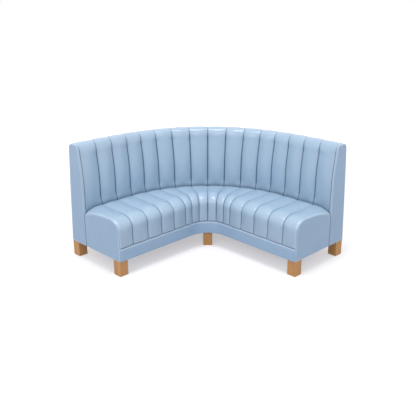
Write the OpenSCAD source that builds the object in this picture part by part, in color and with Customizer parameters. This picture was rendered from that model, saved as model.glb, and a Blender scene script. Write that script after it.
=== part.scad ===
// Curved corner banquette bench: a fluted seat unit and a full-height fluted back unit, bolted
// together, on six block feet. Millimetres. +Z is up, +Y is towards the back, and the bench is
// mirrored about X = 0. The origin is on the floor, at the middle of the bench's footprint.
//
// Most pieces follow one of two curves in plan. The back curve is an arc of back_radius about a
// centre in front of the back, and runs on straight along both arms. The front curve is a tighter
// arc of corner_radius at the inner corner, and runs on straight along the same arms. In an arm,
// p is measured along the arm from the end of the back arc, and q across it from the arc's centre.

/* [Plan] */
// Angle that each arm turns away from straight across, in degrees
half_turn = 45; // [38:1:48]
// Straight length of each arm, from the end of the back arc to the end face
arm_run = 485; // [430:5:700]
// Radius of the front of the back, in plan
back_radius = 930; // [860:10:1200]
// Radius of the seat front at the inner corner, in plan
corner_radius = 180; // [150:5:260]
// Depth of the seat, from its front to the front of the back
seat_depth = 450; // [430:5:500]
// Depth of the back unit at the bottom
back_depth = 200; // [185:5:260]
// Depth that the outside of the back loses on its way up
back_taper = 40; // [20:1:55]

/* [Heights] */
// Height of the body above the floor
leg_height = 130; // [100:5:180]
// Height of the plain band under the seat front
plinth_height = 106; // [90:1:125]
// Height of the seat just behind its front roll
seat_front_height = 472; // [455:1:490]
// Fall of the seat from there to the back
seat_fall = 14; // [0:1:20]
// Height of the whole bench
total_height = 965; // [900:5:1050]
// Height at which the front of the back starts to lean
lean_start = 690; // [620:5:740]
// Height over which the lean comes in
lean_blend = 70; // [40:5:100]
// Lean of the upper back, in degrees
lean_angle = 8.8; // [4:0.2:11]

/* [Channels] */
// Sewn channels on each side of the middle
side_channels = 8; // [6:1:8]
// Channels on each side that crowd into the inner corner
corner_channels = 3; // [2:1:4]
// Width of those corner channels along the seat front
corner_channel_w = 76; // [60:1:80]
// Channels of the back on each side that stand in its curve
arc_channels = 5; // [4:1:6]
// Share of an even width that the first straight channels of the seat front take
front_start = 0.9; // [0.85:0.01:1]
// What that share grows by along the seat front
front_spread = 0.145; // [0:0.005:0.15]
// Flat strip between the back's last seam and the outer face of its end
end_strip = 17; // [14:1:20]
// Depth of the seams below the crown of the channels
channel_sink = 12; // [6:1:14]
// Depth of the pads' end seams below their crown
edge_sink = 3; // [0:1:5]
// Share of the seams' depth that is left over the back's top edge
top_sink_share = 0.4; // [0.2:0.1:1]
// Share of the seams' depth that is left where the seat meets the back
rear_sink_share = 0.4; // [0.2:0.1:1]

/* [Upholstery] */
// Thickness of the fluted pads at the crown
pad_t = 34; // [30:1:38]
// Thickness of the back pad over the top edge
top_pad_t = 30; // [26:1:34]
// Thickness of the back pad's lip over the outside
lip_t = 12; // [10:1:16]
// Radius of the seat's front roll
roll_radius = 85; // [70:1:95]
// Radius of the back's front top edge
back_nose_radius = 30; // [20:1:34]
// Radius of the back's rear top edge
back_heel_radius = 50; // [40:1:56]
// Drop of the seat at its outer rear corners
end_drop = 43; // [25:1:45]
// Thickness of the padded plain covers
cover_t = 4; // [3:0.5:6]
// Thickness of the outside back cover
outside_cover_t = 3; // [2:0.5:4]
// Radius of the plinth cover's top edge
plinth_edge_radius = 6; // [4:0.5:8]
// Thickness of the foam behind the back pad
back_foam_t = 16; // [10:1:20]
// Thickness of the foam over the back's top rail
top_foam_t = 10; // [6:1:14]
// Thickness of the bottom dust cover
dust_cover_t = 1.5; // [1:0.5:2.5]
// Distance from the body's outline to the dust cover
dust_cover_inset = 14; // [10:1:22]

/* [Frame] */
// Thickness of the plywood boards, ribs and deck
board_t = 18; // [15:1:21]
// Thickness of the plinth rail
plinth_rail_t = 26; // [22:1:30]
// Depth of the foam and padding over the seat deck, behind the front roll
seat_build_up = 92; // [86:1:100]
// Thickness of the foam slab on the deck
seat_foam_t = 44; // [36:1:46]
// Height of the back's lower panel above the seat deck
lower_panel_over = 20; // [14:1:30]
// Thickness of the back's timber rails
rail_t = 25; // [22:1:28]
// Thickness of the bent front skin of the back
front_skin_t = 6; // [4:0.5:8]
// Height of the timber blocks that hold the seat unit's feet
foot_block_h = 35; // [30:1:45]
// Side of those blocks
foot_block_side = 70; // [64:1:80]
// Half the distance between the two middle seat ribs
middle_rib_gap = 41; // [38:1:60]
// Distance of the outer ribs from the end face
outer_rib_set = 291; // [270:1:330]
// Distance of the inner seat ribs from the end of the back arc
inner_rib_set = 60; // [40:5:90]
// Diameter of the air holes in the seat deck
vent_d = 25; // [15:1:35]
// Distance of the air holes from the deck's rear edge
vent_set = 200; // [170:5:230]
// Number of air holes in each arm of the deck
vent_count = 3; // [2:1:4]
// Number of air holes around the curve of the deck
curve_vent_count = 5; // [3:1:6]

/* [Feet] */
// Side of the square block feet
foot_side = 80; // [70:1:90]
// Distance of the feet from the end faces
foot_end_inset = 2; // [0:1:10]
// Distance of the front feet from the seat front
foot_front_inset = 8; // [4:1:16]
// Distance of the rear feet from the outside of the back
foot_rear_inset = 4; // [2:1:12]
// Distance of the middle front foot from the seat front
middle_foot_inset = 30; // [24:1:40]
// Chamfer along the feet's edges
foot_chamfer = 1.5; // [0.5:0.5:3]
// Thickness of the glides that show under the feet
glide_show = 2; // [1:0.5:4]
// Depth that the glides are let into the feet
glide_sunk = 4; // [2:0.5:6]
// Diameter of the glides
glide_d = 30; // [20:1:40]
// Clearance around a glide in its recess
glide_clear = 0.5; // [0.2:0.1:1]

/* [Fasteners] */
// Diameter of the hanger bolts that hold the feet
hanger_d = 10; // [8:1:12]
// Depth of the hanger bolts in the feet
hanger_depth = 55; // [40:1:70]
// Shift of the front feet's bolts from the foot's middle, towards the inside of the frame
hanger_shift = 20; // [18:1:24]
// Outer diameter of the tee nuts' barrels
tee_barrel_d = 13; // [12:0.5:15]
// Diameter of the tee nuts' flanges
tee_flange_d = 26; // [20:1:30]
// Thickness of the tee nuts' flanges
tee_flange_t = 2; // [1.5:0.5:3]
// Length of the hanger bolts above the tee nuts
hanger_over = 3; // [1:1:8]
// Diameter of the bolts that join the two units
join_d = 8; // [6:1:10]
// Height of the joining bolts
join_height = 250; // [220:5:300]
// Distance of the outer joining bolts from the end face
join_end_set = 125; // [110:5:150]
// Distance of the inner joining bolts from the end of the back arc
join_inner_set = 100; // [80:5:120]
// Angle of the joining bolts in the curve, from the middle, in degrees
join_angle = 20; // [18:1:24]
// Width of the joining bolts' heads and nuts across the corners
join_hex_d = 15; // [13:1:18]
// Height of the joining bolts' heads and nuts
join_hex_h = 6; // [5:0.5:8]
// Diameter of the washers
washer_d = 24; // [20:1:30]
// Thickness of the washers
washer_t = 2; // [1:0.5:3]
// Length of the joining bolts past their nuts
join_over = 4; // [2:1:8]

/* [Clearances] */
// Gap between a faceted pad and what carries it
pad_gap = 0.4; // [0.3:0.1:0.8]
// Gap between the seat unit and the back unit
unit_gap = 0.5; // [0.3:0.1:1]
// Gap between the flat edges of the back's ribs and the bent rear skin
rib_gap = 0.1; // [0:0.1:0.5]
// Radial clearance of the bolts in their holes
bolt_clear = 0.3; // [0.2:0.1:0.6]
// Radial clearance of a bolt in its nut
thread_clear = 0.05; // [0.03:0.01:0.1]

/* [Colours] */
// Light blue vinyl of the fluted pads
pad_colour = "#adc4dc"; // [#adc4dc, #9fb8d3, #8fa8c4]
// Light blue vinyl of the plain covers
cover_colour = "#9fb8d3"; // [#adc4dc, #9fb8d3, #8fa8c4]
// Oak of the feet
oak_colour = "#c3966a"; // [#c3966a, #b78a5c, #d2a878]
// Plywood and softwood of the frame
frame_colour = "#dcc49a"; // [#dcc49a, #cdb389, #e6d3ae]
// Upholstery foam
foam_colour = "#f2e3a0"; // [#f2e3a0, #e9e9e2, #d8e4c8]
// Zinc-plated steel
steel_colour = "#b9bec4"; // [#b9bec4, #a3a8ae, #cfd3d8]
// Dark fabric and plastic
dark_colour = "#33363a"; // [#33363a, #202224, #4a4d52]

/* [Hidden] */
$fn = 144;

// Degrees in one radian, and a small overrun for cuts
deg = 180 / PI;
overrun = 5;

// The back curve and the front curve in plan
front_q = back_radius - seat_depth;
rear_q = back_radius + back_depth;
rear_top_q = rear_q - back_taper;
bend_q = front_q - corner_radius;
bend_p = -bend_q * tan(half_turn);
bend_y = bend_q / cos(half_turn);
back_arc_len = back_radius * half_turn / deg;
front_arc_len = corner_radius * half_turn / deg;
back_path_len = back_arc_len + arm_run;
front_path_len = front_arc_len + arm_run - bend_p;
cover_run = arm_run - cover_t;

// The footprint's middle, from the front corner of an end face to the outside of the back
corner_y = front_q * cos(half_turn) - arm_run * sin(half_turn);
middle_y = (corner_y + rear_q) / 2;

// Widths of the back's channels, in its curve and on an arm, and the seat front past its corner
arc_pitch = back_arc_len / arc_channels;
arm_pitch = (arm_run - end_strip) / (side_channels - arc_channels);
straight_front = front_path_len - corner_channels * corner_channel_w;
last_seam = side_channels - 1;

// Where the foam stops on an arm, under the middle of the last channel
foam_run = min(back_station(last_seam + 1 / 2) - back_arc_len,
    front_station(last_seam + 1 / 2) + bend_p - front_arc_len) - cover_t;

// Heights that pieces share
plinth_top = leg_height + plinth_height;
seat_height = seat_front_height - seat_fall;
deck_height = seat_front_height - seat_build_up;
deck_under = deck_height - board_t;
lower_panel_height = deck_height + lower_panel_over;
foam_top = deck_height + seat_foam_t;
board_in = cover_t + plinth_rail_t;
frame_in = board_in + board_t;
rear_board_q = back_radius - unit_gap - board_t;
deck_q = back_radius - unit_gap;
lip_height = total_height - back_heel_radius;
top_rail_z = total_height - top_pad_t - top_foam_t - rail_t;
back_foam_top = total_height - top_pad_t;
base_top = leg_height + rail_t;
lean_end = lean_start + lean_blend;
back_layers = pad_t + back_foam_t + front_skin_t;

// Steps of the faceted pads: columns in a channel, and shares of the rows and of the corners
column_shares = [0, 0.25, 0.5, 0.75];
top_row_shares = [1, 0.67, 0.33];
roll_angles = [90, 67.5, 45, 22.5, 0];
inner_front_shares = [0, 0.25, 0.6, 1];
crown_power = 2.5;
drop_power = 3.5;
edge_share = 0.4;
blend_power = 3;

// A value between a and b
function between(a, b, share) = a + (b - a) * share;

// Plan point at path length s along the back curve, drawn at radius r
function back_point(s, r) = let (a = min(s, back_arc_len) / back_radius * deg,
    over = max(s - back_arc_len, 0))
    [r * sin(a) + over * cos(half_turn), r * cos(a) - over * sin(half_turn)];

// Plan point at path length s along the front curve, at depth d behind the seat front
function front_point(s, d) = let (a = min(s, front_arc_len) / corner_radius * deg,
    over = max(s - front_arc_len, 0), r = corner_radius + d)
    [r * sin(a) + over * cos(half_turn), bend_y + r * cos(a) - over * sin(half_turn)];

// Path lengths of seam k, counted from the middle
function back_seam(k) = k <= arc_channels ? k * arc_pitch
    : back_arc_len + (k - arc_channels) * arm_pitch;
function front_seam(k) = k <= corner_channels ? k * corner_channel_w
    : let (share = (k - corner_channels) / (side_channels - corner_channels))
    corner_channels * corner_channel_w
    + straight_front * share * (front_start + front_spread * share);

// Path lengths of station t, of which the last channel ends just short of the end cover
function back_station(t) = t <= last_seam ? back_seam(t)
    : between(back_seam(last_seam), back_path_len - cover_t - pad_gap, t - last_seam);
function front_station(t) = t <= last_seam ? front_seam(t)
    : between(front_seam(last_seam), front_path_len - cover_t - pad_gap, t - last_seam);

// How deep the surface lies at station t, between the crowns and the seams
function seam_near(t) = abs(2 * (t - floor(t)) - 1);
function sink_at(t) = t >= side_channels ? edge_sink : channel_sink * pow(seam_near(t), crown_power);

// How far the front of the back leans at height z, and where its outside is
function lean(z) = let (slope = tan(lean_angle)) z < lean_start ? 0
    : z < lean_end ? (z - lean_start) * slope / 2
    : (z - (lean_start + lean_end) / 2) * slope;
function outside_q(z) = between(rear_q, rear_top_q, (z - leg_height) / (lip_height - leg_height));

// The seat's outline, as depth from the front and height: along the top, then round the roll
function seat_top(share, length, sink, drop) = [between(roll_radius, length, share),
    between(seat_front_height, seat_height, share) - sink - drop * pow(share, drop_power)];
function seat_roll(a, sink) = let (r = roll_radius - sink)
    [roll_radius - r * cos(a), seat_front_height - roll_radius + r * sin(a)];

// The back's outline, as distance q and height: its front, round its nose and round its heel
function back_front(z, sink) = [back_radius + lean(z) + sink, z];
function back_nose(a, sink) = let (r = back_nose_radius - sink, z = total_height - back_nose_radius)
    [back_radius + lean(z) + back_nose_radius - r * cos(a), z + r * sin(a)];
function back_heel(a, sink) = let (r = back_heel_radius - sink)
    [rear_top_q - back_heel_radius + r * cos(a), lip_height + r * sin(a)];

// Puts a piece drawn about the back arc's centre into its place in the bench
module placed() translate([0, -middle_y, 0]) children();

// An arm's own frame: x is p, y is q
module arm(side) {
    if (side == "left") mirror([1, 0, 0]) rotate([0, 0, -half_turn]) children();
    else rotate([0, 0, -half_turn]) children();
}

// Runs a profile of q and z along an arm
module along(from, to) translate([from, 0, 0]) rotate([90, 0, 90]) linear_extrude(to - from) children();

// Runs a profile around the back arc, and along the back arc and both arms
module back_arc() rotate([0, 0, 90 - half_turn]) rotate_extrude(angle = 2 * half_turn) children();
module back_run(to) {
    back_arc() children();
    arm("left") along(0, to) children();
    arm("right") along(0, to) children();
}

// Runs a profile of depth and height around the front arc, and along one arm's front
module at_bend() arm("right") translate([bend_p, bend_q, 0]) children();
module front_arc() at_bend() rotate([0, 0, 90])
    rotate_extrude(angle = 2 * half_turn) translate([corner_radius, 0]) children();
module front_arm(side, to) arm(side) along(bend_p, to) translate([front_q, 0]) children();

// A rectangle in a profile, given by its edges
module strip(low_x, high_x, low_z, high_z) translate([low_x, low_z])
    square([high_x - low_x, high_z - low_z]);

// The space in front of the seat front, set back by depth d
module front_space(d, low_z, high_z) {
    at_bend() translate([0, 0, low_z]) cylinder(r = corner_radius + d, h = high_z - low_z);
    for (side = ["left", "right"])
        arm(side) along(bend_p, arm_run + overrun) strip(-back_radius, front_q + d, low_z, high_z);
}

// A slab with the seat's plan: d behind the front, out to q, and along the arms to p
module seat_slab(d, q, p, low_z, high_z) difference() {
    union() {
        back_arc() strip(0, q, low_z, high_z);
        for (side = ["left", "right"]) arm(side) along(0, p) strip(0, q, low_z, high_z);
    }
    front_space(d, low_z - overrun, high_z + overrun);
}

// A closed solid through rings of points. Each ring is its outer row and then its inner row
// backwards, so both ends close as a strip between the two rows.
module ring_solid(rings) {
    n = len(rings[0]);
    half = n / 2;
    last = len(rings) - 1;
    skin = [for (i = [0:last - 1], j = [0:n - 1]) let (k = (j + 1) % n,
        a = i * n + j, b = i * n + k, c = (i + 1) * n + k, e = (i + 1) * n + j)
        each [[a, b, c], [a, c, e]]];
    first_cap = [for (j = [0:half - 2]) let (m = n - 1 - j) each [[j, m, m - 1], [j, m - 1, j + 1]]];
    far_cap = [for (f = first_cap) [for (v = [2:-1:0]) f[v] + last * n]];
    polyhedron([for (r = rings) each r], concat(skin, first_cap, far_cap), convexity = 10);
}

// Stations of the pads' columns, from the left end to the right end
stations = [for (c = [-side_channels:side_channels - 1], s = column_shares) c + s, side_channels];

// Mirrors a plan point to the left for a station left of the middle
function sided(t, point) = [t < 0 ? -point.x : point.x, point.y];

// One ring of the seat pad
function seat_ring(t) = let (u = abs(t), sink = sink_at(u),
    start = front_point(front_station(u), 0),
    end = back_point(back_station(u), back_radius - unit_gap),
    length = norm(end - start), way = (end - start) / length,
    drop = end_drop * pow(max(u - side_channels + 1, 0), blend_power),
    under = u > side_channels - edge_share ? deck_height + pad_gap : foam_top + pad_gap,
    low = plinth_top + pad_gap, inner = board_in - pad_gap,
    outer_row = concat([for (s = top_row_shares)
        seat_top(s, length, sink * between(1, rear_sink_share, s), drop)],
        [for (a = roll_angles) seat_roll(a, sink)], [[sink, low]]),
    inner_row = concat([for (s = top_row_shares) [between(roll_radius, length, s), under]],
        [[roll_radius, under], [between(inner, roll_radius, 1 / 2), under]],
        [for (s = inner_front_shares) [inner, between(under, low, s)]]),
    row = concat(outer_row, [for (k = [len(inner_row) - 1:-1:0]) inner_row[k]]))
    [for (w = row) let (spot = sided(t, start + way * w.x)) [spot.x, spot.y, w.y]];

// One ring of the back pad
function back_ring(t) = let (u = abs(t), sink = sink_at(u), s = back_station(u),
    inner = pad_t - pad_gap, roof = back_foam_top + pad_gap,
    lip_q = rear_top_q - lip_t + pad_gap, nose = back_front(roof, inner),
    outer_row = concat(
        [for (z = [lower_panel_height + pad_gap, lean_start, lean_end]) back_front(z, sink)],
        [for (a = [0, 45, 90]) back_nose(a, sink * between(1, top_sink_share, a / 90))],
        [for (a = [90, 45, 0]) back_heel(a, sink * top_sink_share * sin(a))]),
    inner_row = concat(
        [for (z = [lower_panel_height + pad_gap, lean_start, lean_end]) back_front(z, inner)],
        [for (k = [0:3]) [between(nose.x, lip_q, k / 4), roof]],
        [[lip_q, roof], [lip_q, lip_height]]),
    row = concat(outer_row, [for (k = [len(inner_row) - 1:-1:0]) inner_row[k]]))
    [for (w = row) let (spot = sided(t, back_point(s, w.x))) [spot.x, spot.y, w.y]];

// The seat end's outline and the back end's outline
seat_end_outline = concat([[0, leg_height], [edge_sink, plinth_top]],
    [for (a = [0:15:90]) seat_roll(a, edge_sink)],
    [for (s = [0.1:0.1:1]) seat_top(s, seat_depth - unit_gap, edge_sink, end_drop)],
    [[seat_depth - unit_gap, leg_height]]);
back_end_outline = concat([[back_radius, leg_height], [back_radius, lower_panel_height]],
    [for (z = [lower_panel_height + edge_sink, lean_start, lean_end]) back_front(z, edge_sink)],
    [for (a = [0:15:90]) back_nose(a, edge_sink)],
    [for (a = [90:-15:0]) back_heel(a, edge_sink)],
    [[outside_q(leg_height), leg_height]]);

// The profile of the back's ribs and end boards
rib_outline = [[back_radius + board_t, base_top], [back_radius + board_t, lower_panel_height - rail_t],
    [back_radius + back_layers, lower_panel_height - rail_t],
    [back_radius + back_layers, lean_start], back_front(lean_end, back_layers),
    back_front(top_rail_z, back_layers), [outside_q(top_rail_z) - lip_t - rib_gap, top_rail_z],
    [outside_q(base_top) - lip_t - rib_gap, base_top]];

// A layer of the back between two distances behind its front, up to a height
module back_layer(near, far, low_z, high_z) {
    heights = [low_z, lean_start, lean_end, high_z];
    polygon(concat([for (z = heights) back_front(z, near)],
        [for (k = [3:-1:0]) back_front(heights[k], far)]));
}

// A layer of the outside between two distances inside it
module outside_layer(near, far, high_z) polygon([
    [outside_q(leg_height) - near, leg_height], [outside_q(high_z) - near, high_z],
    [outside_q(high_z) - far, high_z], [outside_q(leg_height) - far, leg_height]]);

// Places of the joining bolts: their axes run along y, outwards through the unit joint
module at_joints() {
    for (side = ["left", "right"], p = [join_inner_set, arm_run - join_end_set])
        arm(side) translate([p, back_radius, join_height]) children();
    for (a = [-join_angle, join_angle])
        rotate([0, 0, a]) translate([0, back_radius, join_height]) children();
}

// A round bar along y about a joint's place, from one distance to another
module joint_bar(d, from, to) translate([0, from, 0]) rotate([-90, 0, 0]) cylinder(d = d, h = to - from);
module joint_holes() at_joints() joint_bar(join_d + 2 * bolt_clear, -board_t - overrun, board_t + overrun);

// Places of the feet: each one's middle, with x and y square to its sides
foot_half = foot_side / 2;
foot_p = arm_run - foot_end_inset - foot_half;
front_foot_q = front_q + foot_front_inset + foot_half;
rear_foot_q = rear_q - foot_rear_inset - foot_half;
centre_front_foot_y = bend_y + corner_radius + middle_foot_inset + foot_half;
module at_front_foot(side) arm(side) translate([foot_p, front_foot_q, 0]) children();
module at_rear_foot(side) arm(side) translate([foot_p, rear_foot_q, 0]) children();
module at_centre_front_foot() translate([0, centre_front_foot_y, 0]) children();
module at_centre_rear_foot() translate([0, rear_foot_q, 0]) children();
module at_feet() {
    for (side = ["left", "right"]) {
        at_front_foot(side) children();
        at_rear_foot(side) children();
    }
    at_centre_front_foot() children();
    at_centre_rear_foot() children();
}

// Places of the hanger bolts: off the middle of the front corner feet, to clear the front boards
module at_front_bolt(side) at_front_foot(side) translate([-hanger_shift, hanger_shift, 0]) children();
module at_front_bolts() {
    at_front_bolt("left") children();
    at_front_bolt("right") children();
    at_centre_front_foot() children();
}
module at_rear_bolts() {
    at_rear_foot("left") children();
    at_rear_foot("right") children();
    at_centre_rear_foot() children();
}

// A block foot, with a recess for its glide and a hole for its bolt
module foot(shift) {
    side = foot_side - 2 * foot_chamfer;
    difference() {
        translate([0, 0, glide_show]) linear_extrude(leg_height - glide_show) polygon([
            [-side / 2, -foot_half], [side / 2, -foot_half], [foot_half, -side / 2],
            [foot_half, side / 2], [side / 2, foot_half], [-side / 2, foot_half],
            [-foot_half, side / 2], [-foot_half, -side / 2]]);
        translate([0, 0, glide_show - overrun])
            cylinder(d = glide_d + 2 * glide_clear, h = glide_sunk + overrun);
        translate([-shift, shift, leg_height - hanger_depth])
            cylinder(d = hanger_d + 2 * thread_clear, h = hanger_depth + overrun);
    }
}

// A board or rib of the seat unit: the slab of the frame's inside that a plate cuts out
module seat_inside(low_z) seat_slab(frame_in, rear_board_q, cover_run - board_t, low_z, deck_under);
module plate(p) translate([p - board_t / 2, 0, 0]) cube([board_t, rear_q, deck_under]);

module seat_pad() color(pad_colour) placed() ring_solid([for (t = stations) seat_ring(t)]);

module seat_foam() color(foam_colour) placed()
    seat_slab(board_in, deck_q, foam_run, deck_height, foam_top);

module seat_deck() color(frame_colour) placed() difference() {
    seat_slab(board_in, deck_q, cover_run, deck_under, deck_height);
    for (side = ["left", "right"], k = [1:vent_count])
        arm(side) translate([arm_run * k / (vent_count + 1), deck_q - vent_set, deck_under - overrun])
            cylinder(d = vent_d, h = board_t + 2 * overrun);
    for (k = [1:curve_vent_count])
        rotate([0, 0, half_turn - 2 * half_turn * k / (curve_vent_count + 1)])
            translate([0, deck_q - vent_set, deck_under - overrun])
            cylinder(d = vent_d, h = board_t + 2 * overrun);
}

module seat_end_cover(side) color(cover_colour) placed() arm(side) along(cover_run, arm_run)
    translate([front_q, 0]) polygon(seat_end_outline);

module seat_end_board(side) color(frame_colour) placed() arm(side)
    along(cover_run - board_t, cover_run)
    strip(front_q + frame_in, rear_board_q, leg_height, deck_under);

module plinth_cover_profile() {
    r = plinth_edge_radius;
    polygon(concat([[cover_t, leg_height], [0, leg_height]],
        [for (a = [0:15:90]) [r - r * cos(a), plinth_top - r + r * sin(a)]],
        [[board_in, plinth_top], [board_in, plinth_top - r], [cover_t, plinth_top - r]]));
}
module plinth_cover() color(cover_colour) placed() {
    front_arc() plinth_cover_profile();
    front_arm("left", cover_run) plinth_cover_profile();
    front_arm("right", cover_run) plinth_cover_profile();
}

module plinth_rail_profile() strip(cover_t, board_in, leg_height, plinth_top - plinth_edge_radius);
module plinth_rail(side) color(frame_colour) placed() front_arm(side, cover_run) plinth_rail_profile();
module plinth_rail_centre() color(frame_colour) placed() front_arc() plinth_rail_profile();

module front_board_profile() strip(board_in, frame_in, leg_height, deck_under);
module front_board(side) color(frame_colour) placed() front_arm(side, cover_run) front_board_profile();
module front_board_centre() color(frame_colour) placed() front_arc() front_board_profile();

module rear_board_profile() strip(rear_board_q, deck_q, leg_height, deck_under);
module rear_board(side) color(frame_colour) placed() difference() {
    arm(side) along(0, cover_run) rear_board_profile();
    joint_holes();
}
module rear_board_centre() color(frame_colour) placed() difference() {
    back_arc() rear_board_profile();
    joint_holes();
}

module seat_rib(side, p) color(frame_colour) placed() intersection() {
    seat_inside(leg_height);
    arm(side) plate(p);
}
module seat_middle_rib(side) color(frame_colour) placed() intersection() {
    seat_inside(leg_height);
    translate([side == "left" ? -middle_rib_gap - board_t : middle_rib_gap, 0, 0])
        cube([board_t, rear_q, deck_under]);
}

// A timber block in the frame, with a hole for its tee nut
module foot_block(side) color(frame_colour) placed() difference() {
    arm(side) translate([cover_run - board_t - foot_block_side, front_q + frame_in, leg_height])
        cube([foot_block_side, foot_block_side, foot_block_h]);
    at_front_bolt(side) tee_barrel_hole(foot_block_h);
}
module foot_block_centre() color(frame_colour) placed() difference() {
    intersection() {
        seat_inside(leg_height);
        translate([-middle_rib_gap, 0, leg_height])
            cube([2 * middle_rib_gap, centre_front_foot_y + foot_half, foot_block_h]);
    }
    at_centre_front_foot() tee_barrel_hole(foot_block_h);
}
module tee_barrel_hole(h) translate([0, 0, leg_height - overrun])
    cylinder(d = tee_barrel_d + 2 * thread_clear, h = h + 2 * overrun);

module seat_dust_cover() color(dark_colour) placed() difference() {
    seat_slab(dust_cover_inset, deck_q, cover_run - dust_cover_inset, leg_height - dust_cover_t,
        leg_height);
    at_feet() translate([-foot_half - bolt_clear, -foot_half - bolt_clear, glide_show])
        cube([foot_side + 2 * bolt_clear, foot_side + 2 * bolt_clear, leg_height]);
}

module back_pad() color(pad_colour) placed() ring_solid([for (t = stations) back_ring(t)]);

module back_foam() color(foam_colour) placed() back_run(cover_run) {
    top_q = outside_q(top_rail_z + rail_t) - lip_t;
    polygon(concat(
        [for (z = [lower_panel_height, lean_start, lean_end, back_foam_top]) back_front(z, pad_t)],
        [[top_q, back_foam_top], [top_q, back_foam_top - top_foam_t]],
        [for (z = [back_foam_top - top_foam_t, lean_end, lean_start, lower_panel_height])
            back_front(z, pad_t + back_foam_t)]));
}

module back_front_skin() color(frame_colour) placed() back_run(cover_run)
    back_layer(pad_t + back_foam_t, back_layers, lower_panel_height, back_foam_top - top_foam_t);

module back_rear_skin() color(frame_colour) placed() back_run(cover_run)
    outside_layer(outside_cover_t, lip_t, lip_height);

module outside_back_cover() color(cover_colour) placed() back_run(cover_run)
    outside_layer(0, outside_cover_t, lip_height);

module back_end_cover(side) color(cover_colour) placed() arm(side) along(cover_run, arm_run)
    polygon(back_end_outline);

module back_end_board(side) color(frame_colour) placed() arm(side)
    along(cover_run - board_t, cover_run) polygon(rib_outline);

module back_top_rail() color(frame_colour) placed() back_run(cover_run) polygon([
    back_front(top_rail_z, back_layers), back_front(top_rail_z + rail_t, back_layers),
    [outside_q(top_rail_z + rail_t) - lip_t, top_rail_z + rail_t],
    [outside_q(top_rail_z) - lip_t, top_rail_z]]);

module back_middle_rail() color(frame_colour) placed() back_run(cover_run)
    strip(back_radius + board_t, back_radius + back_layers, lower_panel_height - rail_t,
    lower_panel_height);

module back_base_rail() color(frame_colour) placed() difference() {
    back_run(cover_run) polygon([[back_radius + board_t, leg_height],
        [outside_q(leg_height) - lip_t, leg_height], [outside_q(base_top) - lip_t, base_top],
        [back_radius + board_t, base_top]]);
    at_rear_bolts() tee_barrel_hole(rail_t);
}

module back_lower_panel() color(frame_colour) placed() difference() {
    back_run(cover_run) strip(back_radius, back_radius + board_t, leg_height, lower_panel_height);
    joint_holes();
}

module back_rib_plate() rotate([90, 0, 90]) linear_extrude(board_t, center = true) polygon(rib_outline);
module back_rib(side) color(frame_colour) placed() arm(side)
    translate([arm_run - outer_rib_set, 0, 0]) back_rib_plate();
module back_curve_rib(a) color(frame_colour) placed() rotate([0, 0, a]) back_rib_plate();

module foot_oak() color(oak_colour) placed() children();

module foot_glides() color(dark_colour) placed() at_feet()
    cylinder(d = glide_d, h = glide_show + glide_sunk);

module hanger_bolt(head) translate([0, 0, leg_height - hanger_depth])
    cylinder(d = hanger_d, h = hanger_depth + head + tee_flange_t + hanger_over);
module foot_bolts() color(steel_colour) placed() {
    at_front_bolts() hanger_bolt(foot_block_h);
    at_rear_bolts() hanger_bolt(rail_t);
}

// A tee nut: its flange lies on top of the timber and its barrel goes down into it
module tee_nut(head) difference() {
    union() {
        translate([0, 0, leg_height + head]) cylinder(d = tee_flange_d, h = tee_flange_t);
        translate([0, 0, leg_height]) cylinder(d = tee_barrel_d, h = head + tee_flange_t);
    }
    translate([0, 0, leg_height - overrun])
        cylinder(d = hanger_d + 2 * thread_clear, h = head + tee_flange_t + 2 * overrun);
}
module foot_tee_nuts() color(steel_colour) placed() {
    at_front_bolts() tee_nut(foot_block_h);
    at_rear_bolts() tee_nut(rail_t);
}

// The joining bolts' seat on the seat side clears the curved board by its rise under a washer
join_grip = board_t + washer_t;
seat_side = -unit_gap - pow(washer_d / 2, 2) / rear_board_q;
module joining_bolts() color(steel_colour) placed() at_joints() {
    joint_bar(join_d, seat_side - join_grip, join_grip + join_hex_h + join_over);
    translate([0, seat_side - join_grip - join_hex_h, 0]) rotate([-90, 0, 0])
        cylinder(d = join_hex_d, h = join_hex_h, $fn = 6);
}
module joining_washers() color(steel_colour) placed() at_joints() difference() {
    union() {
        joint_bar(washer_d, seat_side - join_grip, seat_side - board_t);
        joint_bar(washer_d, board_t, join_grip);
    }
    joint_bar(join_d + 2 * bolt_clear, -join_grip - overrun, join_grip + overrun);
}
module joining_nuts() color(steel_colour) placed() at_joints() difference() {
    translate([0, join_grip, 0]) rotate([-90, 0, 0]) cylinder(d = join_hex_d, h = join_hex_h, $fn = 6);
    joint_bar(join_d + 2 * thread_clear, join_grip - overrun, join_grip + join_hex_h + overrun);
}

inner_curve_angle = half_turn * 3 / 4;
middle_curve_angle = half_turn / 4;

seat_pad();
seat_foam();
seat_deck();
seat_end_cover("left");  // seat_end_cover_left
seat_end_cover("right");  // seat_end_cover_right
seat_end_board("left");  // seat_end_board_left
seat_end_board("right");  // seat_end_board_right
plinth_cover();
plinth_rail("left");  // plinth_rail_left
plinth_rail_centre();
plinth_rail("right");  // plinth_rail_right
front_board("left");  // front_board_left
front_board_centre();
front_board("right");  // front_board_right
rear_board("left");  // rear_board_left
rear_board_centre();
rear_board("right");  // rear_board_right
seat_rib("left", arm_run - outer_rib_set);  // seat_rib_left_outer
seat_rib("left", -inner_rib_set);  // seat_rib_left_inner
seat_middle_rib("left");  // seat_rib_left_middle
seat_middle_rib("right");  // seat_rib_right_middle
seat_rib("right", -inner_rib_set);  // seat_rib_right_inner
seat_rib("right", arm_run - outer_rib_set);  // seat_rib_right_outer
foot_block("left");  // foot_block_left
foot_block_centre();
foot_block("right");  // foot_block_right
seat_dust_cover();
back_pad();
back_foam();
back_front_skin();
back_rear_skin();
outside_back_cover();
back_end_cover("left");  // back_end_cover_left
back_end_cover("right");  // back_end_cover_right
back_end_board("left");  // back_end_board_left
back_end_board("right");  // back_end_board_right
back_top_rail();
back_middle_rail();
back_base_rail();
back_lower_panel();
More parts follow.
